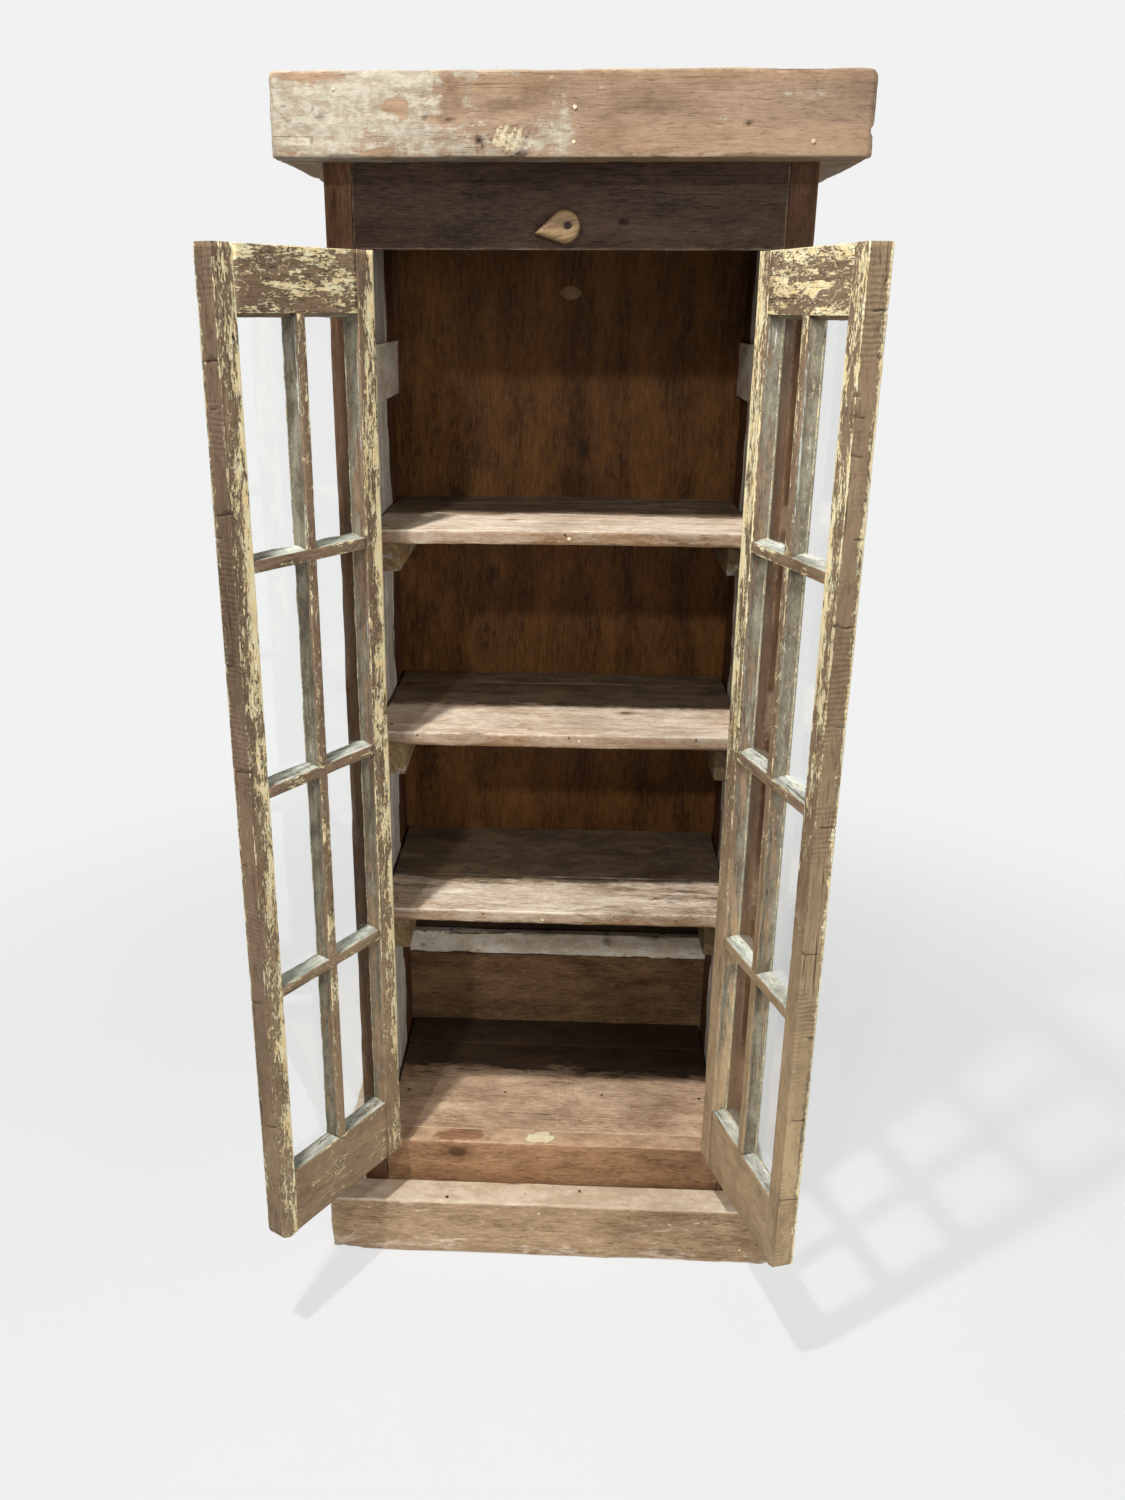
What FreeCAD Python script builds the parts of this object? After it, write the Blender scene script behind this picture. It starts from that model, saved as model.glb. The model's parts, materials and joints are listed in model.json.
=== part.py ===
import FreeCAD, Part
import math
import os
import re
import Sketcher

# Tall cabinet of reclaimed timber with two glazed sash doors, modelled with both doors standing open.
# Frame: X to the right, Y into the cabinet, +Z up, origin at the centre of the plinth's underside.

os.makedirs("parts", exist_ok=True)
doc = FreeCAD.newDocument("TallCabinet")
vec = FreeCAD.Vector

sizes = {
    # whole cabinet
    "total_height": (1855, "floor to the top of the cornice"),
    "half_width": (330, "middle to the outside of a front post"),
    "body_depth": (411, "front of the posts to the back of the plywood"),
    # plinth and cornice, each a band of thick timber round the body
    "plinth_height": (111, "height of the plinth band"),
    "plinth_overhang": (56, "plinth in front of the posts"),
    "plinth_side": (57, "thickness of the plinth at the sides"),
    "cornice_height": (101, "height of the cornice band"),
    "cornice_overhang": (62, "cornice in front of the posts"),
    "cornice_side": (54, "thickness of the cornice at the sides"),
    "corner_round": (7, "worn rounding of the bands' front corners"),
    "bearer_width": (80, "cross bearer under the bottom boards"),
    "top_thickness": (20, "sheet closing the top"),
    # carcass
    "post_width": (38, "face width of a front post"),
    "front_post_depth": (62, "front post, front to back"),
    "back_post_width": (35, "thickness of a back post"),
    "back_post_depth": (100, "back post, front to back"),
    "back_thickness": (12, "plywood back"),
    "panel_thickness": (18, "side panel"),
    "header_thickness": (30, "board over the doors"),
    "rail_thickness": (36, "rail under the doors"),
    "floor_height": (194.5, "top of the bottom boards"),
    "floor_thickness": (22, "bottom boards"),
    "back_floor_width": (88, "width of the rear bottom board"),
    "board_gap": (0.5, "gap between neighbouring boards"),
    "board_clearance": (1, "end gap of a board between the posts"),
    "header_height": (188.5, "board over the doors, bottom to top"),
    # shelves and what carries them
    "shelf_thickness": (22, "shelf boards"),
    "shelf_setback": (47, "front of the posts to the shelf edge"),
    "upper_shelf": (1258, "top face of the upper shelf"),
    "middle_shelf": (937.5, "top face of the middle shelf"),
    "lower_shelf": (624, "top face of the lower shelf"),
    "cleat_width": (46, "shelf cleat, side to side"),
    "upper_cleat": (45, "height of the upper cleats"),
    "middle_cleat": (57, "height of the middle cleats"),
    "lower_cleat": (61, "height of the lower cleats"),
    "batten_thickness": (6, "spare batten in the top bay"),
    "batten_height": (87, "spare batten, bottom to top"),
    "batten_rise": (24.3, "middle of the batten above the middle of the top bay"),
    # back below the plywood
    "back_board_thickness": (15, "board under the back rail"),
    "back_rail_thickness": (18, "painted rail across the back"),
    "back_rail_top": (394, "top edge of the back rail"),
    "back_rail_height": (49, "back rail, bottom to top"),
    "back_slot": (28, "slot between the rail and the plywood"),
    "back_strip_thickness": (10, "strip covering the slot from behind"),
    "back_strip_lap": (20, "strip past the slot, above and below"),
    # doors
    "door_width": (289, "one door"),
    "door_thickness": (32, "sash timber"),
    "door_gap_top": (1.5, "door below the header"),
    "door_gap_bottom": (5, "door above the bottom boards"),
    "left_open_angle": (121.9, "left door turned from closed at rest"),
    "right_open_angle": (106.9, "right door turned from closed at rest"),
    "stile_face": (35, "stile, on the inner face"),
    "top_rail_face": (80, "top rail, on the inner face"),
    "bottom_rail_face": (110, "bottom rail, on the inner face"),
    "bar_face": (16, "glazing bar, on the inner face"),
    "bar_rise": (4.5, "cross bars above an even division of the glass"),
    "sticking": (5, "moulding wider at the glass than on the face"),
    "rebate": (8, "width of the ledge that the glass lies on"),
    "rebate_depth": (10, "outer face to the ledge"),
    "nose_depth": (8, "square nose before the moulding slopes"),
    "glass_thickness": (3, "panes"),
    "glass_gap": (1, "pane edge to the timber"),
    # hinges
    "pin_ahead": (5, "hinge axis in front of the posts"),
    "hinge_gap": (0.5, "hinge axis to either hinge leaf"),
    "hinge_height": (76, "one hinge"),
    "hinge_inset": (130, "end of the door to the hinge's near end"),
    "leaf_thickness": (1.6, "hinge leaf"),
    "leaf_width": (28, "leaf let into the timber"),
    "knuckle_radius": (4.5, "hinge barrel"),
    "knuckle_length": (25, "fixed part of the barrel at each end"),
    "knuckle_gap": (0.4, "between parts of the barrel"),
    "pin_radius": (2.5, "hinge pin"),
    "pin_clearance": (0.05, "turning part of the barrel round the pin"),
    "pin_cap_radius": (3.6, "rounded end of the pin"),
    "pin_cap": (2, "length of the rounded end"),
    "screw_head_radius": (3.4, "hinge screw head"),
    "screw_radius": (1.9, "hinge screw shank"),
    "screw_length": (18, "hinge screw shank"),
    "screw_near": (10, "front of the posts to the middle screw"),
    "screw_far": (18, "front of the posts to the end screws"),
    "screw_margin": (12, "end of the leaf to the end screws"),
    # turn button on the header
    "button_radius": (20.7, "round end of the button"),
    "button_reach": (45.5, "screw to the point of the button"),
    "button_offset": (4.4, "screw to the middle of the round end"),
    "button_thickness": (16, "button"),
    "button_gap": (0.5, "button to the header"),
    "button_drop": (77.6, "cornice underside to the screw"),
    "button_tilt": (11.8, "point of the button below level at rest"),
    "button_screw_radius": (2.2, "button screw shank"),
    "button_head_radius": (4, "button screw head"),
    "button_head_height": (3, "button screw head"),
    "button_recess": (6, "depth of the recess for the head"),
    "button_recess_clearance": (0.5, "recess round the head"),
    "button_screw_length": (22, "button screw in the header"),
}

sheet = doc.addObject("Spreadsheet::Sheet", "Sizes")
for row, (name, (value, note)) in enumerate(sizes.items(), start=1):
    sheet.set(f"A{row}", note)
    sheet.set(f"B{row}", str(value))
    sheet.setAlias(f"B{row}", name)
doc.recompute()

parts = {}
start_middle = vec(30, 30)
start_radius = 20


def cell(word):
    return "Sizes." + word.group() if word.group() in sizes else word.group()


def bound(text):
    """Expression in which each size is read from the sheet."""
    return re.sub(r"[a-z_]+", cell, text)


def bind(thing, prop, text):
    thing.setExpression(prop, bound(text))


def place(thing, x="0", y="0", z="0"):
    bind(thing, "Placement.Base.x", x)
    bind(thing, "Placement.Base.y", y)
    bind(thing, "Placement.Base.z", z)


def part(name, thing):
    thing.Label = name
    parts[name] = thing
    return thing


def box(name, x, y, z, dx, dy, dz):
    block = doc.addObject("Part::Box", name)
    bind(block, "Length", dx)
    bind(block, "Width", dy)
    bind(block, "Height", dz)
    place(block, x, y, z)
    return block


def rod(name, x, y, z, radius, length, axis="z"):
    """Cylinder from x, y, z along +X, +Y or +Z."""
    cylinder = doc.addObject("Part::Cylinder", name)
    turn = {"x": (vec(0, 1, 0), 90), "y": (vec(-1, 0, 0), 90), "z": (vec(0, 0, 1), 0)}[axis]
    cylinder.Placement = FreeCAD.Placement(vec(0, 0, 0), FreeCAD.Rotation(*turn))
    bind(cylinder, "Radius", radius)
    bind(cylinder, "Height", length)
    place(cylinder, x, y, z)
    return cylinder


def joined(name, pieces):
    whole = doc.addObject("Part::MultiFuse", name)
    whole.Shapes = pieces
    return whole


def grouped(name, pieces):
    group = doc.addObject("Part::Compound", name)
    group.Links = pieces
    return group


def cut(name, blank, tool):
    result = doc.addObject("Part::Cut", name)
    result.Base = blank
    result.Tool = tool
    return result


def new_body(name):
    body = doc.addObject("PartDesign::Body", name)
    doc.recompute()
    return body


def origin_plane(body, role):
    return [item for item in body.Origin.OriginFeatures if item.Role == role][0]


def outline(body, name, plane, corners, offset="0"):
    """Closed outline on one of the body's origin planes, each corner held by two bound distances."""
    sketch = body.newObject("Sketcher::SketchObject", name)
    sketch.AttachmentSupport = [(origin_plane(body, plane), "")]
    sketch.MapMode = "FlatFace"
    bind(sketch, "AttachmentOffset.Base.z", offset)
    count = len(corners)
    # the corners start evenly round a circle, and the constraints then pull them into place
    spots = []
    for index in range(count):
        turn = 2 * math.pi * index / count
        spots.append(vec(start_radius * math.cos(turn), start_radius * math.sin(turn)) + start_middle)
    for index in range(count):
        sketch.addGeometry(Part.LineSegment(spots[index], spots[(index + 1) % count]), False)
    for index in range(count):
        sketch.addConstraint(Sketcher.Constraint("Coincident", index, 2, (index + 1) % count, 1))
    for index, (u, v) in enumerate(corners):
        across = sketch.addConstraint(Sketcher.Constraint("DistanceX", -1, 1, index, 1, spots[index].x))
        bind(sketch, f"Constraints[{across}]", u)
        along = sketch.addConstraint(Sketcher.Constraint("DistanceY", -1, 1, index, 1, spots[index].y))
        bind(sketch, f"Constraints[{along}]", v)
    return sketch


def pad(body, name, sketch, length):
    feature = body.newObject("PartDesign::Pad", name)
    feature.Profile = sketch
    bind(feature, "Length", length)
    return feature


def pocket(body, name, sketch):
    """Cut right through the body, both ways from the outline."""
    feature = body.newObject("PartDesign::Pocket", name)
    feature.Profile = sketch
    feature.Type = "ThroughAll"
    feature.SideType = "Symmetric"
    return feature


def round_edges(body, name, base, chosen, radius):
    doc.recompute()
    edges = [f"Edge{number}" for number, edge in enumerate(base.Shape.Edges, start=1) if chosen(edge)]
    feature = body.newObject("PartDesign::Fillet", name)
    feature.Base = (base, edges)
    bind(feature, "Radius", radius)
    return feature


# Shared places, as expressions over the sheet.
front = "((plinth_overhang - body_depth) / 2)"
back = f"({front} + body_depth)"
carcass_back = f"({back} - back_thickness)"
post_inside = "(half_width - post_width)"
wall_inside = "(half_width - back_post_width)"
board_half = f"({post_inside} - board_clearance)"
cornice_foot = "(total_height - cornice_height)"
post_height = "(total_height - top_thickness)"
opening_top = f"({post_height} - header_height)"
door_bottom = "(floor_height + door_gap_bottom)"
door_top = f"({opening_top} - door_gap_top)"


def mirrored(name, inner, y, z, dx, dy, dz):
    """Two equal boards, right and left of the middle, dx thick outwards from their inner face."""
    pieces = {"right": inner, "left": f"-({inner}) - ({dx})"}
    return {side: box(f"{name}_{side}", x, y, z, dx, dy, dz) for side, x in pieces.items()}


def band(name, half, overhang, foot, height):
    """Front timber of the plinth or cornice, with its two front corners worn round."""
    body = new_body(f"{name}_front_body")
    corners = [
        (f"-({half})", f"{front} - {overhang}"),
        (half, f"{front} - {overhang}"),
        (half, front),
        (f"-({half})", front),
    ]
    sketch = outline(body, f"{name}_front_outline", "XY_Plane", corners)
    timber = pad(body, f"{name}_front_pad", sketch, height)
    bind(body, "Placement.Base.z", foot)

    def worn(edge):
        upright = abs(edge.tangentAt(edge.FirstParameter).z) > 0.9
        return upright and edge.CenterOfMass.y < timber.Shape.CenterOfMass.y

    round_edges(body, f"{name}_front_rounding", timber, worn, "corner_round")
    part(f"{name}_front", body)


band("plinth", "half_width + plinth_side", "plinth_overhang", "0", "plinth_height")
band("cornice", "half_width + cornice_side", "cornice_overhang", cornice_foot, "cornice_height")
plinth_sides = mirrored("plinth", "half_width", front, "0",
                        "plinth_side", "body_depth", "plinth_height")
cornice_sides = mirrored("cornice", "half_width", front, cornice_foot,
                         "cornice_side", "body_depth", "cornice_height")
for side in ("left", "right"):
    part(f"plinth_{side}", plinth_sides[side])
    part(f"cornice_{side}", cornice_sides[side])
part("plinth_bearer", box("bearer", f"-{board_half}", "-bearer_width / 2", "0",
                          f"2 * {board_half}", "bearer_width", "floor_height - floor_thickness"))
part("top_sheet", box("top", "-half_width", front, post_height,
                      "2 * half_width", "body_depth", "top_thickness"))

# Carcass: back posts, side panels, boards across.
back_post_y = f"{carcass_back} - back_post_depth"
panel_depth = "body_depth - back_thickness - back_post_depth - front_post_depth"
back_posts = mirrored("back_post", wall_inside, back_post_y, "0",
                      "back_post_width", "back_post_depth", post_height)
panels = mirrored("side_panel", wall_inside, f"{front} + front_post_depth", "0",
                  "panel_thickness", panel_depth, post_height)
for side in ("left", "right"):
    part(f"back_post_{side}", back_posts[side])
    part(f"side_panel_{side}", panels[side])
part("bottom_rail", box("rail", f"-{post_inside}", front, "0",
                        f"2 * {post_inside}", "rail_thickness", "floor_height"))

floor_foot = "floor_height - floor_thickness"
front_floor_width = "body_depth - back_thickness - rail_thickness - back_floor_width - 2 * board_gap"
part("bottom_board_front", box("floor_front", f"-{board_half}", f"{front} + rail_thickness", floor_foot,
                               f"2 * {board_half}", front_floor_width, "floor_thickness"))
part("bottom_board_back", box("floor_back", f"-{board_half}",
                              f"{carcass_back} - board_gap - back_floor_width", floor_foot,
                              f"2 * {board_half}", "back_floor_width", "floor_thickness"))

# Shelves on cleats, and the spare battens above them.
cleat_y = f"{front} + front_post_depth"
cleat_length = "body_depth - back_thickness - front_post_depth - board_gap"
cleat_inside = f"{wall_inside} - cleat_width"
shelf_depth = "body_depth - back_thickness - shelf_setback - board_gap"
for level in ("upper", "middle", "lower"):
    shelf_foot = f"{level}_shelf - shelf_thickness"
    part(f"{level}_shelf_board", box(f"{level}_board", f"-{board_half}", f"{front} + shelf_setback",
                                     shelf_foot, f"2 * {board_half}", shelf_depth, "shelf_thickness"))
    cleats = mirrored(f"{level}_cleat", cleat_inside, cleat_y, f"{shelf_foot} - {level}_cleat",
                      "cleat_width", cleat_length, f"{level}_cleat")
    for side, cleat in cleats.items():
        part(f"{level}_shelf_cleat_{side}", cleat)
batten_foot = f"(upper_shelf + {opening_top}) / 2 + batten_rise - batten_height / 2"
battens = mirrored("batten", f"{wall_inside} - batten_thickness", cleat_y, batten_foot,
                   "batten_thickness", cleat_length, "batten_height")
for side, batten in battens.items():
    part(f"spare_batten_{side}", batten)

# Back: plywood above, painted rail and one board below, the slot between them covered from behind.
back_half = "(half_width - board_clearance)"
back_rail_foot = "(back_rail_top - back_rail_height)"
part("back_plywood", box("plywood", f"-{back_half}", carcass_back, "back_rail_top + back_slot",
                         f"2 * {back_half}", "back_thickness",
                         f"{post_height} - back_rail_top - back_slot"))
part("back_rail", box("painted_rail", f"-{back_half}", carcass_back, back_rail_foot,
                      f"2 * {back_half}", "back_rail_thickness", "back_rail_height"))
part("back_lower_board", box("lower_board", f"-{back_half}", carcass_back, "0",
                             f"2 * {back_half}", "back_board_thickness", f"{back_rail_foot} - board_gap"))
part("back_strip", box("strip", f"-{back_half}", f"{carcass_back} + back_rail_thickness",
                       "back_rail_top - back_strip_lap", f"2 * {back_half}", "back_strip_thickness",
                       "back_slot + 2 * back_strip_lap"))

# Turn button and its screw on the header.
screw_height = f"({cornice_foot} - button_drop)"
button_front = f"({front} - button_gap - button_thickness)"
head_y = f"({button_front} + button_recess - button_head_height)"
header_blank = box("header_blank", f"-{post_inside}", front, opening_top,
                   f"2 * {post_inside}", "header_thickness", "header_height")
header_hole = rod("header_hole", "0", front, screw_height,
                  "button_screw_radius", "button_screw_length", "y")
part("header_board", cut("header", header_blank, header_hole))
button_shank = rod("button_shank", "0", head_y, screw_height, "button_screw_radius",
                   f"{front} - {head_y} + button_screw_length", "y")
button_head = rod("button_head", "0", head_y, screw_height,
                  "button_head_radius", "button_head_height", "y")
part("turn_button_screw", joined("button_screw", [button_shank, button_head]))

button = new_body("button_body")
shape = button.newObject("Sketcher::SketchObject", "button_outline")
shape.AttachmentSupport = [(origin_plane(button, "XZ_Plane"), "")]
shape.MapMode = "FlatFace"
shape.addGeometry(Part.LineSegment(vec(-45, 0, 0), vec(-14, -18, 0)), False)
shape.addGeometry(Part.ArcOfCircle(Part.Circle(vec(-4, 0, 0), vec(0, 0, 1), 20), -2.1, 2.1), False)
shape.addGeometry(Part.LineSegment(vec(-14, 18, 0), vec(-45, 0, 0)), False)
shape.addConstraint(Sketcher.Constraint("Coincident", 2, 2, 0, 1))
shape.addConstraint(Sketcher.Constraint("Tangent", 0, 2, 1, 1))
shape.addConstraint(Sketcher.Constraint("Tangent", 1, 2, 2, 1))
shape.addConstraint(Sketcher.Constraint("PointOnObject", 1, 3, -1))
shape.addConstraint(Sketcher.Constraint("PointOnObject", 0, 1, -1))
radius = shape.addConstraint(Sketcher.Constraint("Radius", 1, 20))
bind(shape, f"Constraints[{radius}]", "button_radius")
middle = shape.addConstraint(Sketcher.Constraint("DistanceX", -1, 1, 1, 3, -4))
bind(shape, f"Constraints[{middle}]", "-button_offset")
point = shape.addConstraint(Sketcher.Constraint("DistanceX", -1, 1, 0, 1, -45))
bind(shape, f"Constraints[{point}]", "-button_reach")
pad(button, "button_pad", shape, "button_thickness")
bore = rod("button_bore", "0", "-button_thickness", "0", "button_screw_radius + pin_clearance",
           "button_thickness", "y")
recess = rod("button_recess", "0", "-button_thickness", "0", "button_head_radius + button_recess_clearance",
             "button_recess", "y")
turned_button = cut("turned_button", button, joined("button_holes", [bore, recess]))
turned_button.Placement = FreeCAD.Placement(vec(0, 0, 0), FreeCAD.Rotation(vec(0, -1, 0), 10))
bind(turned_button, "Placement.Rotation.Angle", "button_tilt")
place(turned_button, "0", f"{front} - button_gap", screw_height)
part("turn_button", turned_button)

# Doors. Each is drawn closed about its hinge axis, across = distance from the axis into the opening and
# deep = distance behind the axis, then turned open about it. The moulding of every member has the same
# section: a ledge for the glass, a slope and a square nose at the inner face.
outer_face = "pin_ahead"
ledge = "(pin_ahead + rebate_depth)"
slope_end = "(pin_ahead + door_thickness - nose_depth)"
inner_face = "(pin_ahead + door_thickness)"
halving = "(pin_ahead + door_thickness / 2)"
halving_half = ("(bar_face / 2 + sticking * (door_thickness / 2 - nose_depth)"
                " / (door_thickness - nose_depth - rebate_depth))")
hinge_edge = "hinge_gap"
meeting_edge = "(hinge_gap + door_width)"
door_middle = "(hinge_gap + door_width / 2)"


def edge_profile(base, way, face):
    """Corners of one moulded edge: way is +1 or -1 along the member's width, face its width at the nose."""
    sign = "+" if way > 0 else "-"
    tongue = f"{base} {sign} ({face} + sticking - rebate)"
    flare = f"{base} {sign} ({face} + sticking)"
    nose = f"{base} {sign} ({face})"
    return [(tongue, outer_face), (tongue, ledge), (flare, ledge), (nose, slope_end), (nose, inner_face)]


def member_section(base, way, face):
    return edge_profile(base, way, face) + [(base, inner_face), (base, outer_face)]


def bar_section(middle_line):
    right = edge_profile(middle_line, 1, "bar_face / 2")
    left = edge_profile(middle_line, -1, "bar_face / 2")
    return right + left[::-1]


def outer_half(middle_line):
    """Part of a bar's section on the outer side of the halving."""
    section = []
    for sign in ("+", "-"):
        tongue = f"{middle_line} {sign} (bar_face / 2 + sticking - rebate)"
        flare = f"{middle_line} {sign} (bar_face / 2 + sticking)"
        split = f"{middle_line} {sign} {halving_half}"
        run = [(tongue, outer_face), (tongue, ledge), (flare, ledge), (split, halving)]
        section += run if sign == "+" else run[::-1]
    return section


def inner_half(middle_line):
    section = []
    for sign in ("+", "-"):
        split = f"{middle_line} {sign} {halving_half}"
        nose = f"{middle_line} {sign} bar_face / 2"
        run = [(split, halving), (nose, slope_end), (nose, inner_face)]
        section += run if sign == "+" else run[::-1]
    return section


glass_foot = f"({door_bottom} + bottom_rail_face)"
bar_pitch = f"(({door_top} - top_rail_face - {glass_foot}) / 4)"
cross_bars = {
    "top": f"({glass_foot} + 3 * {bar_pitch} + bar_rise)",
    "middle": f"({glass_foot} + 2 * {bar_pitch} + bar_rise)",
    "bottom": f"({glass_foot} + {bar_pitch} + bar_rise)",
}
hinge_feet = {
    "lower": f"({door_bottom} + hinge_inset)",
    "middle": f"(({door_bottom} + {door_top} - hinge_height) / 2)",
    "upper": f"({door_top} - hinge_inset - hinge_height)",
}
knuckle_top = "(hinge_height - knuckle_length)"
screw_rows = [
    ("low", "screw_margin", "screw_far"),
    ("mid", "hinge_height / 2", "screw_near"),
    ("high", "hinge_height - screw_margin", "screw_far"),
]


class Door:
    """One door; way is +1 where the opening lies to the right of its hinges, -1 to the left."""

    def __init__(self, side, way):
        self.side = side
        self.way = way
        self.pin_x = f"{'-' if way > 0 else ''}({post_inside} - hinge_gap)"
        self.pin_y = f"{front} - pin_ahead"

    def across(self, corners):
        """Corners given from the hinge axis, put on this door's side of it."""
        return [(u if self.way > 0 else f"-({u})", v) for u, v in corners]

    def hang(self, thing, turns):
        """Put a piece drawn about the hinge axis in its place, on the frame or on the open door."""
        angle = 10 if turns else 0
        thing.Placement = FreeCAD.Placement(vec(0, 0, 0), FreeCAD.Rotation(vec(0, 0, -self.way), angle))
        if turns:
            bind(thing, "Placement.Rotation.Angle", f"{self.side}_open_angle")
        place(thing, self.pin_x, self.pin_y)
        return thing

    def block(self, name, u, v, z, du, dv, dz):
        x = u if self.way > 0 else f"-({u}) - ({du})"
        return box(f"{self.side}_{name}", x, v, z, du, dv, dz)

    def leaf_pieces(self, spot, foot, inward):
        """Plate and screw spaces of one hinge leaf, on the door (inward) or on the post."""
        kind = "door" if inward else "frame"
        tag = f"{kind}_{spot}"
        plate_u = "hinge_gap" if inward else "-hinge_gap - leaf_thickness"
        plate = self.block(f"{tag}_plate", plate_u, "pin_ahead", foot,
                           "leaf_thickness", "leaf_width", "hinge_height")
        shanks = []
        heads = []
        for row, rise, reach in screw_rows:
            z = f"{foot} + {rise}"
            outward = (self.way > 0) == inward
            root = "hinge_gap" if outward else "-hinge_gap - leaf_thickness"
            shank_x = root if outward else f"{root} - screw_length"
            heads.append(rod(f"{self.side}_{tag}_{row}_head", root, f"pin_ahead + {reach}", z,
                             "screw_head_radius", "leaf_thickness", "x"))
            shanks.append(rod(f"{self.side}_{tag}_{row}_shank", shank_x, f"pin_ahead + {reach}", z,
                              "screw_radius", "leaf_thickness + screw_length", "x"))
        return plate, heads, shanks

    def leaf(self, spot, foot, inward):
        """One hinge leaf with its part of the barrel, the space it needs in the timber, and its screws."""
        kind = "door" if inward else "frame"
        tag = f"{self.side}_{kind}_{spot}"
        plate, heads, shanks = self.leaf_pieces(spot, foot, inward)
        moving_foot = f"{foot} + knuckle_length + knuckle_gap"
        moving_length = "hinge_height - 2 * knuckle_length - 2 * knuckle_gap"
        lengths = [(moving_foot, moving_length)]
        if not inward:
            lengths = [(foot, "knuckle_length"), (f"{foot} + {knuckle_top}", "knuckle_length")]
        strap_u = "hinge_gap" if inward else "-hinge_gap - leaf_thickness"
        solid = [plate]
        for number, (start, length) in enumerate(lengths):
            solid.append(rod(f"{tag}_barrel_{number}", "0", "0", start, "knuckle_radius", length))
            solid.append(self.block(f"{kind}_{spot}_strap_{number}", strap_u, "0", start,
                                    "leaf_thickness", "pin_ahead", length))
        bore_radius = "pin_radius + pin_clearance" if inward else "pin_radius"
        bore = rod(f"{tag}_bore", "0", "0", foot, bore_radius, "hinge_height")
        holes = joined(f"{tag}_holes", [bore] + heads)
        leaf = cut(f"{tag}_leaf", joined(f"{tag}_solid", solid), holes)
        seat_plate, seat_heads, seat_shanks = self.leaf_pieces(f"{spot}_seat", foot, inward)
        seat = joined(f"{tag}_seat", [seat_plate] + seat_shanks)
        screws = []
        for number, (head, shank) in enumerate(zip(heads, shanks)):
            screws.append(joined(f"{tag}_screw_{number}", [head, shank]))
        return leaf, seat, screws

    def pin(self, spot, foot):
        tag = f"{self.side}_{spot}_pin"
        shaft = rod(f"{tag}_shaft", "0", "0", foot, "pin_radius", "hinge_height")
        caps = [rod(f"{tag}_foot", "0", "0", f"{foot} - pin_cap", "pin_cap_radius", "pin_cap"),
                rod(f"{tag}_head", "0", "0", f"{foot} + hinge_height", "pin_cap_radius", "pin_cap")]
        return joined(tag, [shaft] + caps)

    def member(self, name, plane, section, start, length, notches):
        """Moulded member: a section run along its length, less the sections of what it meets."""
        body = new_body(f"{self.side}_{name}_body")
        if plane == "YZ_Plane":
            drawn = [(v, u) for u, v in section]
            start = start if self.way > 0 else f"-({start}) - ({length})"
        else:
            drawn = self.across(section)
        sketch = outline(body, f"{self.side}_{name}_section", plane, drawn, start)
        pad(body, f"{self.side}_{name}_pad", sketch, length)
        for number, (notch_plane, notch) in enumerate(notches):
            corners = self.across(notch) if notch_plane == "XY_Plane" else [(v, u) for u, v in notch]
            sketch = outline(body, f"{self.side}_{name}_notch_{number}", notch_plane, corners)
            pocket(body, f"{self.side}_{name}_pocket_{number}", sketch)
        return body

    def build(self):
        door = f"{self.side}_door"
        height = f"{door_top} - {door_bottom}"
        hinge_section = member_section(hinge_edge, 1, "stile_face")
        meeting_section = member_section(meeting_edge, -1, "stile_face")
        top_section = member_section(door_top, -1, "top_rail_face")
        bottom_section = member_section(door_bottom, 1, "bottom_rail_face")
        stiles = [("XY_Plane", hinge_section), ("XY_Plane", meeting_section)]
        rails = [("YZ_Plane", top_section), ("YZ_Plane", bottom_section)]
        crossing = [("YZ_Plane", inner_half(z)) for z in cross_bars.values()]
        rail_start = f"{hinge_edge} + stile_face + sticking - rebate"
        rail_length = "door_width - 2 * (stile_face + sticking - rebate)"
        bar_foot = f"{door_bottom} + bottom_rail_face + sticking - rebate"
        bar_length = f"{height} - bottom_rail_face - top_rail_face - 2 * (sticking - rebate)"

        frame_leaves = []
        door_leaves = []
        frame_seats = []
        door_seats = []
        frame_screws = []
        door_screws = []
        for spot, foot in hinge_feet.items():
            leaf, seat, screws = self.leaf(spot, foot, False)
            frame_leaves.append(leaf)
            frame_seats.append(seat)
            frame_screws += screws
            leaf, seat, screws = self.leaf(spot, foot, True)
            door_leaves.append(leaf)
            door_seats.append(seat)
            door_screws += screws

        stile = self.member("hinge_stile", "XY_Plane", hinge_section, door_bottom, height, [])
        seated = cut(f"{door}_seated_stile", stile, joined(f"{door}_seats", door_seats))
        part(f"{door}_hinge_stile", self.hang(seated, True))
        members = {
            "meeting_stile": ("XY_Plane", meeting_section, door_bottom, height, []),
            "top_rail": ("YZ_Plane", top_section, rail_start, rail_length, stiles),
            "bottom_rail": ("YZ_Plane", bottom_section, rail_start, rail_length, stiles),
            "upright_bar": ("XY_Plane", bar_section(door_middle), bar_foot, bar_length, rails + crossing),
        }
        for spot, z in cross_bars.items():
            notches = stiles + [("XY_Plane", outer_half(door_middle))]
            members[f"{spot}_cross_bar"] = ("YZ_Plane", bar_section(z), rail_start, rail_length, notches)
        for name, shape in members.items():
            part(f"{door}_{name}", self.hang(self.member(name, *shape), True))

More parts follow.
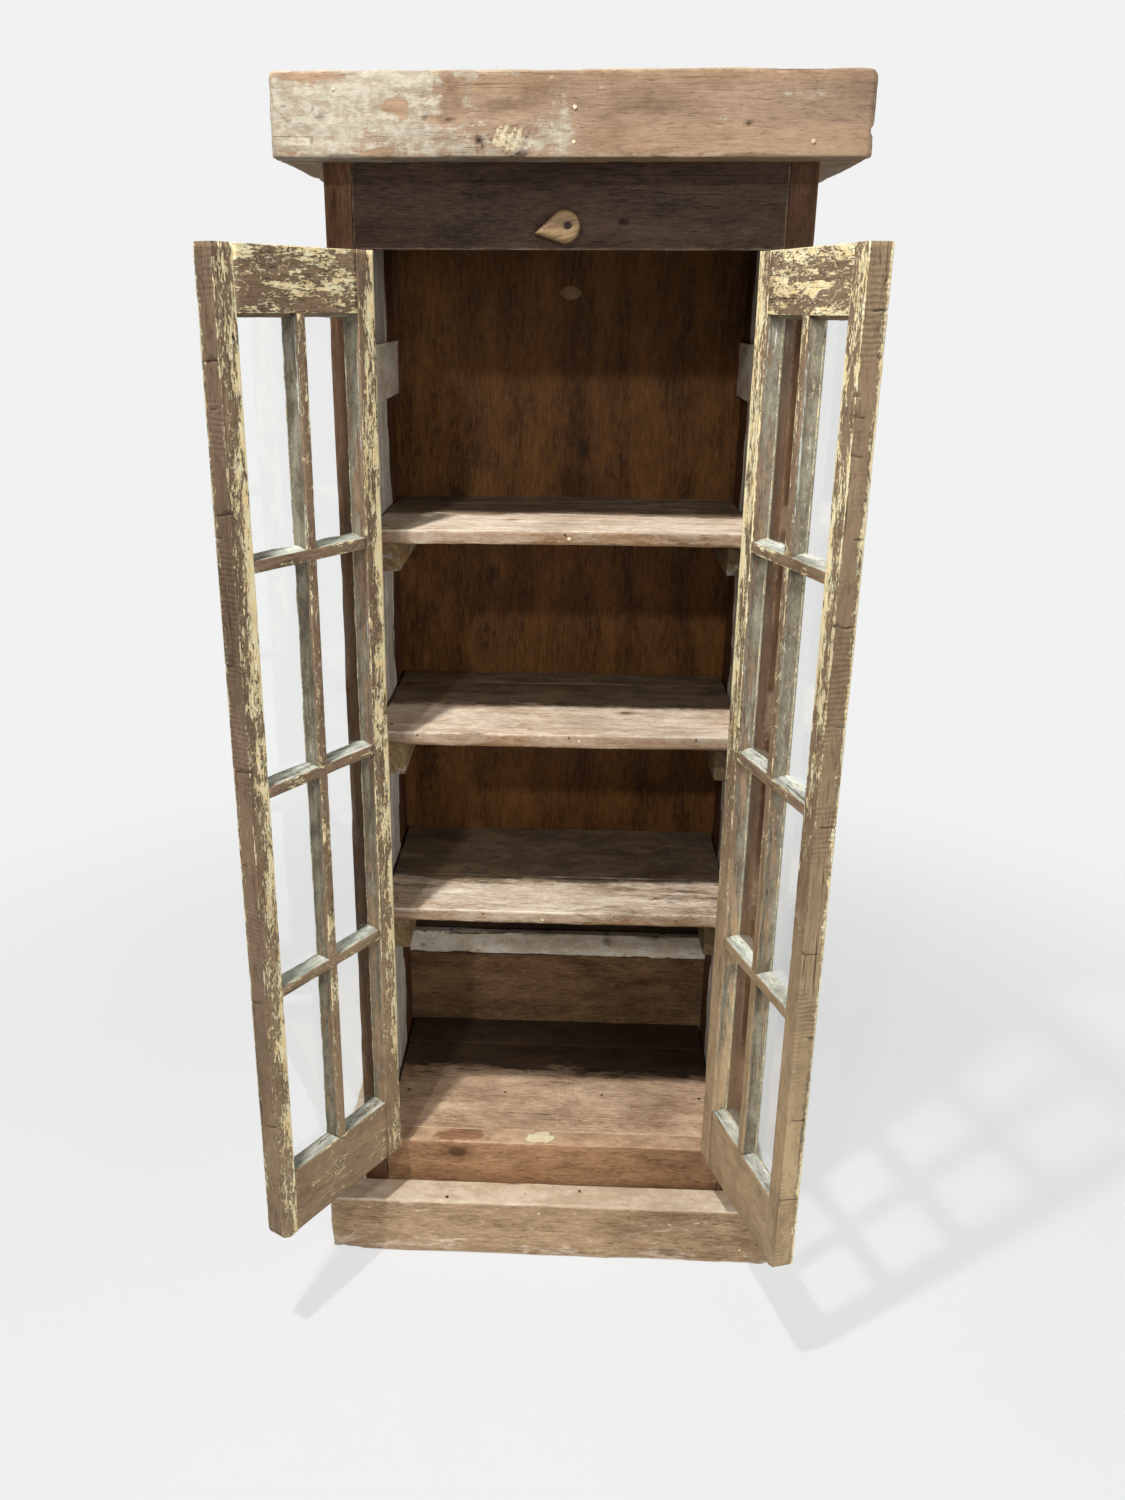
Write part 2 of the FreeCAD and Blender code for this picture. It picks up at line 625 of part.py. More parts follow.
        part(f"{door}_panes", self.hang(grouped(f"{door}_glass", self.panes()), True))
        part(f"{door}_hinge_leaves", self.hang(grouped(f"{door}_leaf_set", door_leaves), True))
        part(f"{door}_hinge_screws", self.hang(grouped(f"{door}_screw_set", door_screws), True))
        pins = [self.pin(spot, foot) for spot, foot in hinge_feet.items()]
        fixed = {
            "leaves": self.hang(grouped(f"{door}_frame_leaf_set", frame_leaves), False),
            "screws": self.hang(grouped(f"{door}_frame_screw_set", frame_screws), False),
            "pins": self.hang(grouped(f"{door}_pin_set", pins), False),
            "seats": self.hang(joined(f"{door}_frame_seats", frame_seats), False),
        }
        return fixed

    def panes(self):
        """Eight panes, each a gap's width short of the timber all round."""
        step = "(sticking - rebate + glass_gap)"
        columns = [
            (f"{hinge_edge} + stile_face + {step}", f"{door_middle} - bar_face / 2 - {step}"),
            (f"{door_middle} + bar_face / 2 + {step}", f"{meeting_edge} - stile_face - {step}"),
        ]
        levels = list(cross_bars.values())
        tops = [f"{door_top} - top_rail_face"] + [f"{z} - bar_face / 2" for z in levels]
        feet = [f"{z} + bar_face / 2" for z in levels] + [glass_foot]
        panes = []
        for column, (near, far) in enumerate(columns):
            for row, (top, foot) in enumerate(zip(tops, feet)):
                panes.append(self.block(f"pane_{column}_{row}", near, f"{ledge} - glass_thickness",
                                        f"{foot} + {step}", f"{far} - ({near})", "glass_thickness",
                                        f"{top} - ({foot}) - 2 * {step}"))
        return panes


hung = {"left": Door("left", 1).build(), "right": Door("right", -1).build()}
front_posts = mirrored("front_post_blank", post_inside, front, "0",
                       "post_width", "front_post_depth", post_height)
for side, post in front_posts.items():
    part(f"front_post_{side}", cut(f"front_post_{side}_cut", post, hung[side]["seats"]))
part("frame_hinge_leaves", grouped("frame_leaves", [hung[side]["leaves"] for side in hung]))
part("frame_hinge_screws", grouped("frame_screws", [hung[side]["screws"] for side in hung]))
part("hinge_pins", grouped("pins", [hung[side]["pins"] for side in hung]))

doc.recompute()
faults = [item.Name for item in doc.Objects if "Invalid" in item.State or "Error" in item.State]
for name, thing in parts.items():
    if thing.Shape.isNull() or not thing.Shape.isValid():
        faults.append(name)
if faults:
    raise RuntimeError("not built: " + ", ".join(faults))
for name, thing in parts.items():
    thing.Shape.exportStep(f"parts/{name}.step")
print(len(parts), "parts written")
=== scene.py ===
import json
import math
import bmesh
import bpy
import numpy as np
from mathutils import Matrix, Vector

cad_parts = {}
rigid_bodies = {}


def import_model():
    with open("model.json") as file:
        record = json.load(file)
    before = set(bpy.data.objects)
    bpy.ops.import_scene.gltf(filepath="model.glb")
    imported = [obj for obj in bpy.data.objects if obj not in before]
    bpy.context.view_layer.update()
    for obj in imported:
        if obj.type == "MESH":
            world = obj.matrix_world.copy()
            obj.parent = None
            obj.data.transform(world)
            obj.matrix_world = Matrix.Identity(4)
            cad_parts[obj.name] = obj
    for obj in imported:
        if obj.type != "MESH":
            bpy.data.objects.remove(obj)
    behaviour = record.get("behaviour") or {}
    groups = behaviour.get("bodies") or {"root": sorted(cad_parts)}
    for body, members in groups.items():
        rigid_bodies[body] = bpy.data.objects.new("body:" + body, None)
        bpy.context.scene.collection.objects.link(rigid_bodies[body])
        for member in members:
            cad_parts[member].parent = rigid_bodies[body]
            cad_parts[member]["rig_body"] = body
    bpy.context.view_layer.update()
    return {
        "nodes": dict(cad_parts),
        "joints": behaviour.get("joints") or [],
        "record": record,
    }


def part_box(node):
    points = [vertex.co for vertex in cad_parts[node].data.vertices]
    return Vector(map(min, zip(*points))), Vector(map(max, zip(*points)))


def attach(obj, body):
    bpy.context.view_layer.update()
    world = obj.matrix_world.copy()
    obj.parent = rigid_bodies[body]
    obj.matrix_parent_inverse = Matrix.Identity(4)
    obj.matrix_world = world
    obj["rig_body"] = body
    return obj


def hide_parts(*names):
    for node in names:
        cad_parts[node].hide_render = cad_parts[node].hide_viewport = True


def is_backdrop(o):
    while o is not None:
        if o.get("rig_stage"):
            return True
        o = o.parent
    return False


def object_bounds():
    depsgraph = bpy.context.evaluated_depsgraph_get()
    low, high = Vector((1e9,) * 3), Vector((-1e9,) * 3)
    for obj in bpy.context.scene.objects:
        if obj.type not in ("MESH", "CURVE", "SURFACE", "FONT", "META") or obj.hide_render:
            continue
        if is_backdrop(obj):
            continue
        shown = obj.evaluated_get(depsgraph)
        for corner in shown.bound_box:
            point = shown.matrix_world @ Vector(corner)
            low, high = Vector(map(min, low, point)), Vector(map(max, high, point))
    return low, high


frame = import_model()
nodes = frame["nodes"]
pins = {joint["child"]: joint["pos_m"] for joint in frame["joints"]}
slotOf = {row["node"]: row["material_slot"] for row in frame["record"]["subparts"]}
print("frame loaded,", len(nodes), "nodes")


# Colours are noted as they look on a screen, from 0 to 255.
def shade(*levels):
    parts = [level / 255 for level in levels]
    return (*(part / 12.92 if part <= 0.04045 else ((part + 0.055) / 1.055) ** 2.4 for part in parts), 1)


def addNode(tree, kind, inputs=None, **settings):
    node = tree.nodes.new(kind)
    for name, value in settings.items():
        setattr(node, name, value)
    for key, value in (inputs or {}).items():
        value = getattr(value, "socket", value)
        if isinstance(value, bpy.types.NodeSocket):
            tree.links.new(value, node.inputs[key])
        else:
            node.inputs[key].default_value = value
    return node


# A node's output that sums can be written with. Each step adds a Math node to its tree.
class Value:
    def __init__(self, node, output=0):
        self.socket, self.tree = node.outputs[output], node.id_data

    def calc(self, operation, *others, clamp=False):
        terms = dict(enumerate((self, *others)))
        return Value(addNode(self.tree, "ShaderNodeMath", terms, operation=operation, use_clamp=clamp))

    def __add__(self, other):
        return self.calc("ADD", other)

    def __sub__(self, other):
        return self.calc("SUBTRACT", other)

    def __rsub__(self, other):
        return Value(addNode(self.tree, "ShaderNodeMath", {0: other, 1: self}, operation="SUBTRACT"))

    def __mul__(self, other):
        return self.calc("MULTIPLY", other)


def treeOf(*parts):
    return next(part.tree for part in parts if isinstance(part, Value))


def vector(*parts):
    return Value(addNode(treeOf(*parts), "ShaderNodeCombineXYZ", dict(enumerate(parts))))


def scaled(place, by, operation="MULTIPLY"):
    return Value(addNode(place.tree, "ShaderNodeVectorMath", {0: place, 1: by}, operation=operation))


def mixColour(share, first, second, how="MIX"):
    terms = {0: share, 6: first, 7: second}
    node = addNode(treeOf(share, first, second), "ShaderNodeMix", terms, data_type="RGBA", blend_type=how)
    return Value(node, 2)


def ramp(value, low, high, start=0.0, end=1.0, how="SMOOTHSTEP"):
    terms = {0: value, 1: low, 2: high, 3: start, 4: end}
    return Value(addNode(value.tree, "ShaderNodeMapRange", terms, interpolation_type=how))


# Noise over a place. "along" below one draws it out along the grain.
def cloud(place, scale, detail=3.0, rough=0.55, warp=0.0, along=1.0):
    terms = {"Vector": scaled(place, (along, 1.0, 1.0)), "Scale": scale, "Detail": detail, "Roughness": rough,
             "Distortion": warp}
    return Value(addNode(place.tree, "ShaderNodeTexNoise", terms), "Fac")


def bands(place, scale, warp, fineScale, fineRough, way):
    terms = {"Vector": place, "Scale": scale, "Distortion": warp, "Detail": 3.0, "Detail Scale": fineScale,
             "Detail Roughness": fineRough}
    return Value(addNode(place.tree, "ShaderNodeTexWave", terms, bands_direction=way), "Fac")


def attribute(tree, name, output="Fac"):
    return Value(addNode(tree, "ShaderNodeAttribute", attribute_name=name), output)


def objectPlace(tree):
    return Value(addNode(tree, "ShaderNodeTexCoord"), "Object")


def bumped(height, strength, distance):
    terms = {"Height": height, "Strength": strength, "Distance": distance}
    return Value(addNode(height.tree, "ShaderNodeBump", terms))


# A node group of what "build" makes from the place and the other inputs.
def makeGroup(build, inputs, outputs):
    group = bpy.data.node_groups.new(build.__name__, "ShaderNodeTree")
    for label, default in inputs.items():
        kind = "Vector" if label == "Place" else "Color" if isinstance(default, tuple) else "Float"
        socket = group.interface.new_socket(name=label, in_out="INPUT", socket_type="NodeSocket" + kind)
        if label != "Place":
            socket.default_value = default
    for label in outputs:
        kind = "Color" if label == "Color" else "Float"
        group.interface.new_socket(name=label, in_out="OUTPUT", socket_type="NodeSocket" + kind)
    given = addNode(group, "NodeGroupInput")
    results = build(*(Value(given, label) for label in inputs))
    addNode(group, "NodeGroupOutput", dict(zip(outputs, results)))
    return group


def fillGroup(tree, group, inputs):
    node = addNode(tree, "ShaderNodeGroup", inputs, node_tree=group)
    return [Value(node, number) for number in range(len(node.outputs))]


# Timber seen through its own place in the board: x along the grain, y across it, z through it.
def boardGrain(place, knot, pale, deep, ringScale, ringShare, streakShare, fibreShare, blotchShare):
    wander = cloud(scaled(place, (1.0, 3.0, 3.0)), 4.0, 2.0)
    placed = scaled(place, vector(0.0, wander * 0.03, wander * 0.02), "ADD")
    rings = bands(scaled(placed, (0.06, 1.0, 1.0)), ringScale, 4.0, 1.2, 0.6, "DIAGONAL")
    streak = cloud(placed, 230.0, 5.0, 0.7, 0.3, 0.10)
    fibre = cloud(placed, 520.0, 4.0, 0.8, 0.2, 0.12)
    curl = cloud(placed, 80.0, 7.0, 0.74, 1.6, 0.36)
    blotch = cloud(place, 14.0, 6.0, 0.65, 0.5, 0.45)
    fleck = ramp(cloud(placed, 300.0, 3.0, 0.7, 0.0, 0.14), 0.60, 0.68)
    scuff = ramp(cloud(place, 150.0, 5.0, 0.75, 0.8, 0.35), 0.60, 0.66)
    level = 0.52
    for part, share, gain in ((rings, ringShare, 1.0), (streak, streakShare, 2.6), (fibre, fibreShare, 4.0),
                              (blotch, blotchShare, 2.8), (curl, blotchShare, 2.4)):
        level = (part - 0.5) * gain * share + level
    level = level - fleck * (fibreShare * 0.8)
    level = (scuff * 0.16).calc("ADD", level, clamp=True)
    colour = mixColour((1 - ramp(knot, 0.9, 2.2)) * 0.5, mixColour(level, deep, pale), deep)
    eye = mixColour((knot * 26.0).calc("SINE") * 0.3 + 0.5, shade(46, 28, 18), deep)
    colour = mixColour((1 - ramp(knot, 0.55, 1.15)) * 0.85, colour, eye)
    return colour, fibre * 0.9 + streak * 0.8 + rings * 0.2 - fleck * 0.7


# What is left of a coat of paint: a mask with ragged, cracked edges, and the rim around it.
def paintRemains(place, cover, flakeScale, stretch, seed, crackle, outline, fine, soft):
    moved = scaled(place, vector(seed, seed, seed), "ADD")
    drawn = scaled(moved, vector(stretch, 1.0, 1.0))
    broad = cloud(drawn, flakeScale, 6.0, 0.68, 0.6)
    small = cloud(drawn, flakeScale * 4.3, 6.0, 0.76, 0.8)
    thin = cloud(moved, 420.0, 3.0, 0.7, 0.0, 0.10)
    limit = ramp(cover, 0.0, 1.0, 0.67, 0.33, "LINEAR")
    past = (small * 0.68 + thin * 0.32 - broad) * fine + broad - limit
    mask = ramp(past, soft * -1.0, soft)
    coast = cloud(moved, flakeScale * 0.4, 5.0, 0.55, 0.2, 0.6) - (limit * 0.4 + 0.29)
    coast = (1 - ramp(coast.calc("ABSOLUTE"), 0.004, 0.014)) * ramp(small, 0.47, 0.53)
    coast = coast * ramp(cover, 0.14, 0.30)
    mask = mask.calc("MAXIMUM", coast * outline)
    terms = {"Vector": scaled(moved, (0.45, 1.0, 1.0)), "Scale": 110.0, "Randomness": 1.0}
    cells = addNode(place.tree, "ShaderNodeTexVoronoi", terms, feature="DISTANCE_TO_EDGE")
    mask = mask * (1 - (1 - ramp(Value(cells, "Distance"), 0.0, 0.05)) * crackle)
    return mask, 1 - ramp(past.calc("ABSOLUTE"), 0.0, 0.035)


# Dirt that lies in patches and specks.
def oldGrime(place, colour, amount):
    patches = ramp(cloud(place, 9.0, 6.0, 0.65, 0.0, 0.5), 0.45, 0.72)
    specks = ramp(cloud(place, 160.0, 3.0, 0.7, 0.0, 0.4), 0.63, 0.72)
    dirt = (patches * amount).calc("ADD", specks * (amount * 0.8), clamp=True)
    return [mixColour(dirt, colour, mixColour(1.0, colour, shade(150, 128, 108), "MULTIPLY"))]


wood = shade(150, 120, 90)
grainGroup = makeGroup(boardGrain, {
    "Place": 0, "Knot": 3.0, "Pale": wood, "Deep": wood, "Ring Scale": 40.0, "Ring Share": 0.3,
    "Streak Share": 0.5, "Fibre Share": 0.5, "Blotch": 0.35}, ["Color", "Height"])
paintGroup = makeGroup(paintRemains, {
    "Place": 0, "Cover": 0.5, "Flake Scale": 30.0, "Stretch": 0.35, "Seed": 0.0, "Crackle": 0.5,
    "Outline": 0.0, "Fine": 0.4, "Soft": 0.005}, ["Mask", "Rim"])
grimeGroup = makeGroup(oldGrime, {"Place": 0, "Color": wood, "Amount": 0.4}, ["Color"])


def newMaterial(name):
    material = bpy.data.materials.new(name)
    material.use_nodes = True
    material.node_tree.nodes.clear()
    return material, material.node_tree


def addSurface(tree, inputs):
    shader = addNode(tree, "ShaderNodeBsdfPrincipled", inputs)
    addNode(tree, "ShaderNodeOutputMaterial", {"Surface": shader.outputs[0]})


plainWood = dict(
    rings=40, ringShare=0.25, blotch=0.4, streaks=0.45, fibres=0.45, rough=0.72, rubShare=0.8, kerfShade=0.45,
    lineShade=0.75, grime=0.35, darkColour=(34, 23, 16), bump=0.55, shine=0.14, coats=[])
plainCoat = dict(
    cover="cover", flake=30, stretch=0.35, crackle=0.4, outline=0.0, fine=0.4, soft=0.005, tone=35, rim=0.35,
    strength=0.92, thick=0.8)


# One recipe for old timber: the wood, up to three coats that have mostly gone, dirt, and bare rubbed arrises.
# Some coats and the "dark" share also carry painted shade.
def timberMaterial(name, look):
    material, tree = newMaterial(name)
    look = {**plainWood, **look}
    deep = shade(*look["deep"])
    place = attribute(tree, "timber", "Vector")
    colour, height = fillGroup(tree, grainGroup, {
        "Place": place, "Knot": attribute(tree, "knot"), "Pale": shade(*look["pale"]), "Deep": deep,
        "Ring Scale": look["rings"], "Ring Share": look["ringShare"], "Blotch": look["blotch"],
        "Streak Share": look["streaks"], "Fibre Share": look["fibres"]})
    if "rubbed" in look:
        rub = attribute(tree, "worn") + (cloud(place, 60.0, 5.0, 0.7) - 0.5) * 1.6
        colour = mixColour(ramp(rub, 0.45, 0.95) * look["rubShare"], colour, shade(*look["rubbed"]))
    if "warm" in look:
        warmth = attribute(tree, "warm") * ramp(cloud(place, 45.0, 4.0, 0.6), 0.3, 0.6, 0.6, 1.0)
        colour = mixColour(warmth, colour, mixColour(0.55, colour, shade(*look["warm"])))
    for number, coat in enumerate(look["coats"]):
        coat = {**plainCoat, **coat}
        mask, rim = fillGroup(tree, paintGroup, {
            "Place": place, "Cover": attribute(tree, coat["cover"]), "Flake Scale": coat["flake"],
            "Stretch": coat["stretch"], "Seed": 3.7 * (number + 1), "Crackle": coat["crackle"],
            "Outline": coat["outline"], "Fine": coat["fine"], "Soft": coat["soft"]})
        tone = ramp(cloud(place, coat["tone"], 7.0, 0.78, 0.0, 0.5), 0.38, 0.62)
        # A dark rim around each coat's edge: painted shade of the paint's thickness.
        colour = mixColour(rim * coat["rim"], colour, shade(*coat.get("rimColour", look["deep"])))
        strength = mask * coat["strength"]
        colour = mixColour(strength, colour, mixColour(tone, shade(*coat["colour"]), shade(*coat["shadow"])))
        height = height * (1 - strength * 0.6) + mask * coat["thick"]
    if "kerfs" in look:  # left by the saw
        sawn = attribute(tree, "sawn") * ramp(cloud(place, 9.0, 2.0), 0.46, 0.60)
        cuts = ramp(bands(place, look["kerfs"], 3.0, 1.5, 0.5, "X"), 0.15, 0.75) * sawn
        height = height + cuts * 0.8
        colour = mixColour((sawn - cuts) * look["kerfShade"], colour, deep)
    if "lines" in look:  # long drying cracks
        crack = (cloud(place, look["lines"], 2.0, 0.4, 0.0, 0.016) - 0.5).calc("ABSOLUTE")
        crack = (1 - ramp(crack, 0.0, 0.007)) * ramp(cloud(place, 18.0, 2.0, along=0.3), 0.5, 0.62)
        colour = mixColour(crack * look["lineShade"], colour, shade(30, 20, 14))
        height = height - crack * 1.6
    colour = fillGroup(tree, grimeGroup, {"Place": place, "Color": colour, "Amount": look["grime"]})[0]
    rough = look["rough"]
    addSurface(tree, {"Base Color": mixColour(attribute(tree, "dark"), colour, shade(*look["darkColour"])),
                      "Roughness": ramp(height, 0.0, 1.6, rough + 0.12, rough - 0.1),
                      "Normal": bumped(height, look["bump"], 0.0012), "Specular IOR Level": look["shine"]})
    return material


def coat(colour, shadow, **rest):
    return dict(colour=colour, shadow=shadow, **rest)


chalk = ((222, 218, 208), (186, 178, 166))
# Settings of the dark coats on the shelves and the bottom board: some soot, mostly painted shade towards the
# back.
sootAndShade = dict(flake=14, stretch=0.3, thick=0.1, rim=0.0, crackle=0.0, soft=0.06, fine=0.5)
timberLooks = {
    "cornice_wood": dict(
        pale=(174, 148, 122), deep=(124, 100, 80), rings=14, ringShare=0.08, blotch=0.34, streaks=0.3,
        fibres=0.35, lines=60, lineShade=0.4, rubbed=(196, 172, 142), grime=0.5, warm=(204, 158, 116),
        coats=[coat((192, 187, 168), (156, 143, 124), flake=22, stretch=0.7, crackle=0.0, rim=0.15,
                    strength=0.85, tone=90, soft=0.05, thick=0.5, fine=0.6),
               coat((222, 212, 178), (190, 172, 134), cover="fresh", flake=90, stretch=1.2, crackle=0.0,
                    thick=1.0, fine=0.6, soft=0.025, strength=0.85)]),
    "plinth_wood": dict(
        pale=(206, 176, 140), deep=(128, 102, 74), rings=14, ringShare=0.12, blotch=0.55, grime=0.5, lines=70,
        lineShade=0.4, rubbed=(210, 184, 150), rubShare=0.6, warm=(248, 226, 194),
        coats=[coat((246, 230, 208), (208, 186, 160), flake=22, stretch=0.3, strength=0.62, thick=0.3,
                    rim=0.1, soft=0.03, fine=0.5)]),
    "post_wood": dict(
        pale=(124, 90, 64), deep=(66, 44, 30), rings=26, grime=0.4, lines=90, rubbed=(140, 104, 76),
        rubShare=0.4, coats=[coat(*chalk, stretch=0.2)]),
    "back_post_wood": dict(
        pale=(110, 74, 46), deep=(56, 36, 20), rings=26, grime=0.4, lines=90,
        coats=[coat(*chalk, flake=9, stretch=0.4, crackle=0.1, rim=0.2)]),
    "header_wood": dict(
        pale=(90, 70, 56), deep=(42, 33, 27), rings=12, ringShare=0.1, blotch=0.55, streaks=0.3, grime=0.5,
        lines=80, rubbed=(132, 112, 94), rubShare=0.6),
    "bottom_rail_wood": dict(
        pale=(200, 158, 118), deep=(112, 80, 54), rings=12, ringShare=0.12, blotch=0.5, streaks=0.35,
        fibres=0.35, lines=90, rubbed=(200, 164, 128), rubShare=0.5, grime=0.45, warm=(166, 92, 76),
        darkColour=(70, 44, 28),
        coats=[coat((226, 192, 156), (186, 152, 120), flake=12, crackle=0.0, soft=0.06, rim=0.0, thick=0.1),
               coat((255, 250, 220), (250, 226, 172), cover="fresh", flake=40, stretch=0.6, crackle=0.0,
                    soft=0.05)]),
    # The bottom board's dark coat is painted shade towards the back.
    "floor_wood": dict(
        pale=(246, 216, 182), deep=(156, 120, 92), rings=12, ringShare=0.1, blotch=0.5, streaks=0.4, lines=80,
        grime=0.5, rubbed=(238, 208, 170), kerfs=60, kerfShade=0.3,
        coats=[coat((82, 62, 44), (50, 37, 26), **sootAndShade)]),
    # The shelves' dark coat is painted shade at the back and underneath. darkColour tints the sawn fronts,
    # partly their own tone and partly painted shade.
    "shelf_wood": dict(
        pale=(255, 242, 222), deep=(176, 142, 108), rings=20, ringShare=0.15, blotch=0.5, streaks=0.4,
        lines=90, grime=0.5, rubbed=(255, 244, 224), darkColour=(128, 92, 54), kerfs=26, kerfShade=0.4,
        coats=[coat((122, 98, 70), (66, 50, 33), **sootAndShade, strength=0.88, tone=28)]),
    "cleat_wood": dict(
        pale=(196, 166, 122), deep=(124, 96, 64), rings=30, grime=0.4,
        coats=[coat(*chalk, flake=26, crackle=0.2)]),
    "side_panel_paint": dict(
        pale=(120, 88, 60), deep=(66, 44, 30), rings=20, grime=0.45, lines=60,
        coats=[coat(*chalk, flake=9, stretch=0.4, crackle=0.15, rim=0.2)]),
    "batten_paint": dict(
        pale=(150, 118, 84), deep=(96, 72, 50),
        coats=[coat((222, 214, 198), (184, 174, 154), flake=12, crackle=0.1)]),
    # darkColour is near black, set for painted shade at the back below the lowest shelf.
    "plywood": dict(
        pale=(136, 92, 48), deep=(56, 34, 16), rings=6.5, ringShare=0.26, blotch=0.62, streaks=0.5,
        fibres=0.22, grime=0.3, bump=0.16, rough=0.55, shine=0.16, darkColour=(12, 8, 5)),
    "back_rail_paint": dict(
        pale=(134, 108, 78), deep=(84, 60, 42), grime=0.5,
        coats=[coat((255, 250, 236), (226, 214, 190), stretch=0.25, crackle=0.2, fine=0.5)]),
    # darkColour is near black, set for painted shade at the back below the lowest shelf.
    "back_board_wood": dict(
        pale=(156, 122, 88), deep=(78, 58, 40), rings=16, ringShare=0.12, blotch=0.6, grime=0.4, lines=80,
        darkColour=(12, 8, 5)),
    "top_wood": dict(pale=(158, 130, 100), deep=(104, 80, 58), rings=14, grime=0.6, lines=80),
    "sash_paint": dict(
        pale=(172, 145, 118), deep=(92, 74, 58), rings=30, ringShare=0.05, blotch=0.34, streaks=0.28,
        fibres=0.32, warm=(240, 210, 160), grime=0.36, lines=110, rubbed=(188, 156, 124), rubShare=0.4,
        bump=0.9, kerfs=44, kerfShade=0.35, darkColour=(72, 54, 42),
        coats=[coat((150, 146, 126), (98, 92, 78), cover="under", flake=50, stretch=0.10, crackle=0.2,
                    rim=0.3),
               coat((222, 224, 210), (164, 168, 156), cover="pale", flake=90, stretch=0.10, crackle=0.2,
                    rim=0.4, fine=0.6),
               coat((255, 246, 206), (250, 224, 166), flake=56, stretch=0.36, crackle=0.1, thick=1.4,
                    rim=0.95, rimColour=(62, 44, 31), outline=0.9, fine=0.78, soft=0.006, tone=90,
                    strength=0.97)]),
    "button_wood": dict(
        pale=(166, 138, 100), deep=(100, 74, 46), rings=60, ringShare=0.2, blotch=0.3, grime=0.3, rough=0.5,
        shine=0.3, bump=0.35),
}
materials = {slot: timberMaterial(slot + "_old", look) for slot, look in timberLooks.items()}
print("timber materials ready:", len(materials))


# Uneven values over space, from -1 to 1, the same each run.
def cornerValue(cells, seed):
    mixed = cells[..., 0] * 73856093 ^ cells[..., 1] * 19349663 ^ cells[..., 2] * 83492791 ^ seed * 2654435
    mixed = (mixed ^ (mixed >> 13)) * 1274126177
    mixed = (mixed ^ (mixed >> 16)) & 0xffffff
    return mixed / 0x7fffff - 1.0


def uneven(points, scale, seed=0):
    spots = np.asarray(points, float) * np.asarray(scale, float)
    cells = np.floor(spots).astype(np.int64)
    part = spots - cells
    part = part * part * (3 - 2 * part)
    total = np.zeros(len(spots))
    for corner in np.ndindex(2, 2, 2):
        weight = np.prod(np.where(np.array(corner) > 0, part, 1 - part), axis=1)
        total += weight * cornerValue(cells + np.array(corner), seed)
    return total


def between(values, low, high):
    share = np.clip((values - low) / (high - low), 0, 1)
    return share * share * (3 - 2 * share)


# Skin of a box as a lattice: whole-number places and the quads between them, facing outwards.
def latticeSkin(counts):
    size = np.array(counts) + 1
    grid = np.indices(size).reshape(3, -1).T
    skin = ((grid == 0) | (grid == size - 1)).any(axis=1)
    number = np.full(len(grid), -1)
    number[skin] = np.arange(skin.sum())
    number = number.reshape(size)
    quads = []
    for way in range(3):
        for end in (0, size[way] - 1):
            sheet = np.take(number, end, axis=way)
            near, far = sheet[:-1], sheet[1:]
            quad = np.stack([near[:, :-1], far[:, :-1], far[:, 1:], near[:, 1:]], axis=-1).reshape(-1, 4)
            quads.append(quad[:, ::-1] if (end == 0) != (way == 1) else quad)
    return grid[skin], np.concatenate(quads)


# Quads between rings of points that follow one another. The last ring joins the first where "closed" is set.
def ringQuads(rings, count, base=0, closed=False):
    quads = []
    for ring in range(rings if closed else rings - 1):
        here, after = base + ring * count, base + (ring + 1) % rings * count
        for step in range(count):
            following = (step + 1) % count
            quads.append((here + step, here + following, after + following, after + step))
    return quads


def stations(length, cell, rim):
    steps = max(1, round((length - 2 * rim) / cell))
    middle = np.linspace(rim, length - rim, steps + 1)
    return np.concatenate([[0, rim * 0.4], middle, [length - rim * 0.4, length]])


def addObject(name, data):
    piece = bpy.data.objects.new(name, data)
    bpy.context.scene.collection.objects.link(piece)
    return piece


def makeMesh(name, points, quads, values, material):
    mesh = bpy.data.meshes.new(name)
    mesh.from_pydata(points.tolist(), [], [list(quad) for quad in quads])
    for key, data in values.items():
        flat = data.ndim == 1
        layer = mesh.attributes.new(key, "FLOAT" if flat else "FLOAT_VECTOR", "POINT")
        layer.data.foreach_set("value" if flat else "vector", data.astype(np.float32).ravel())
    mesh.polygons.foreach_set("use_smooth", [True] * len(mesh.polygons))
    mesh.materials.append(material)
    return addObject(name, mesh)


def tidyNormals(piece):
    work = bmesh.new()
    work.from_mesh(piece.data)
    bmesh.ops.recalc_face_normals(work, faces=work.faces)
    work.to_mesh(piece.data)
    work.free()
    return piece


def dress(piece, node):
    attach(piece, nodes[node]["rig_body"])
    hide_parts(node)


# Each board is seen from another place in the timber.
def grainStart(seed):
    return np.array([seed * 1.37 % 7, seed * 0.73 % 5, seed * 0.41 % 3])


# Knots and gouges have their place along and across the board, then their reach, and gouges their depth.
plainBoard = dict(
    wear=0.0025, cell=0.006, chips=1.0, rough=0.0004, dents=0.0008, bow=0.0, knots=[], gouges=[])


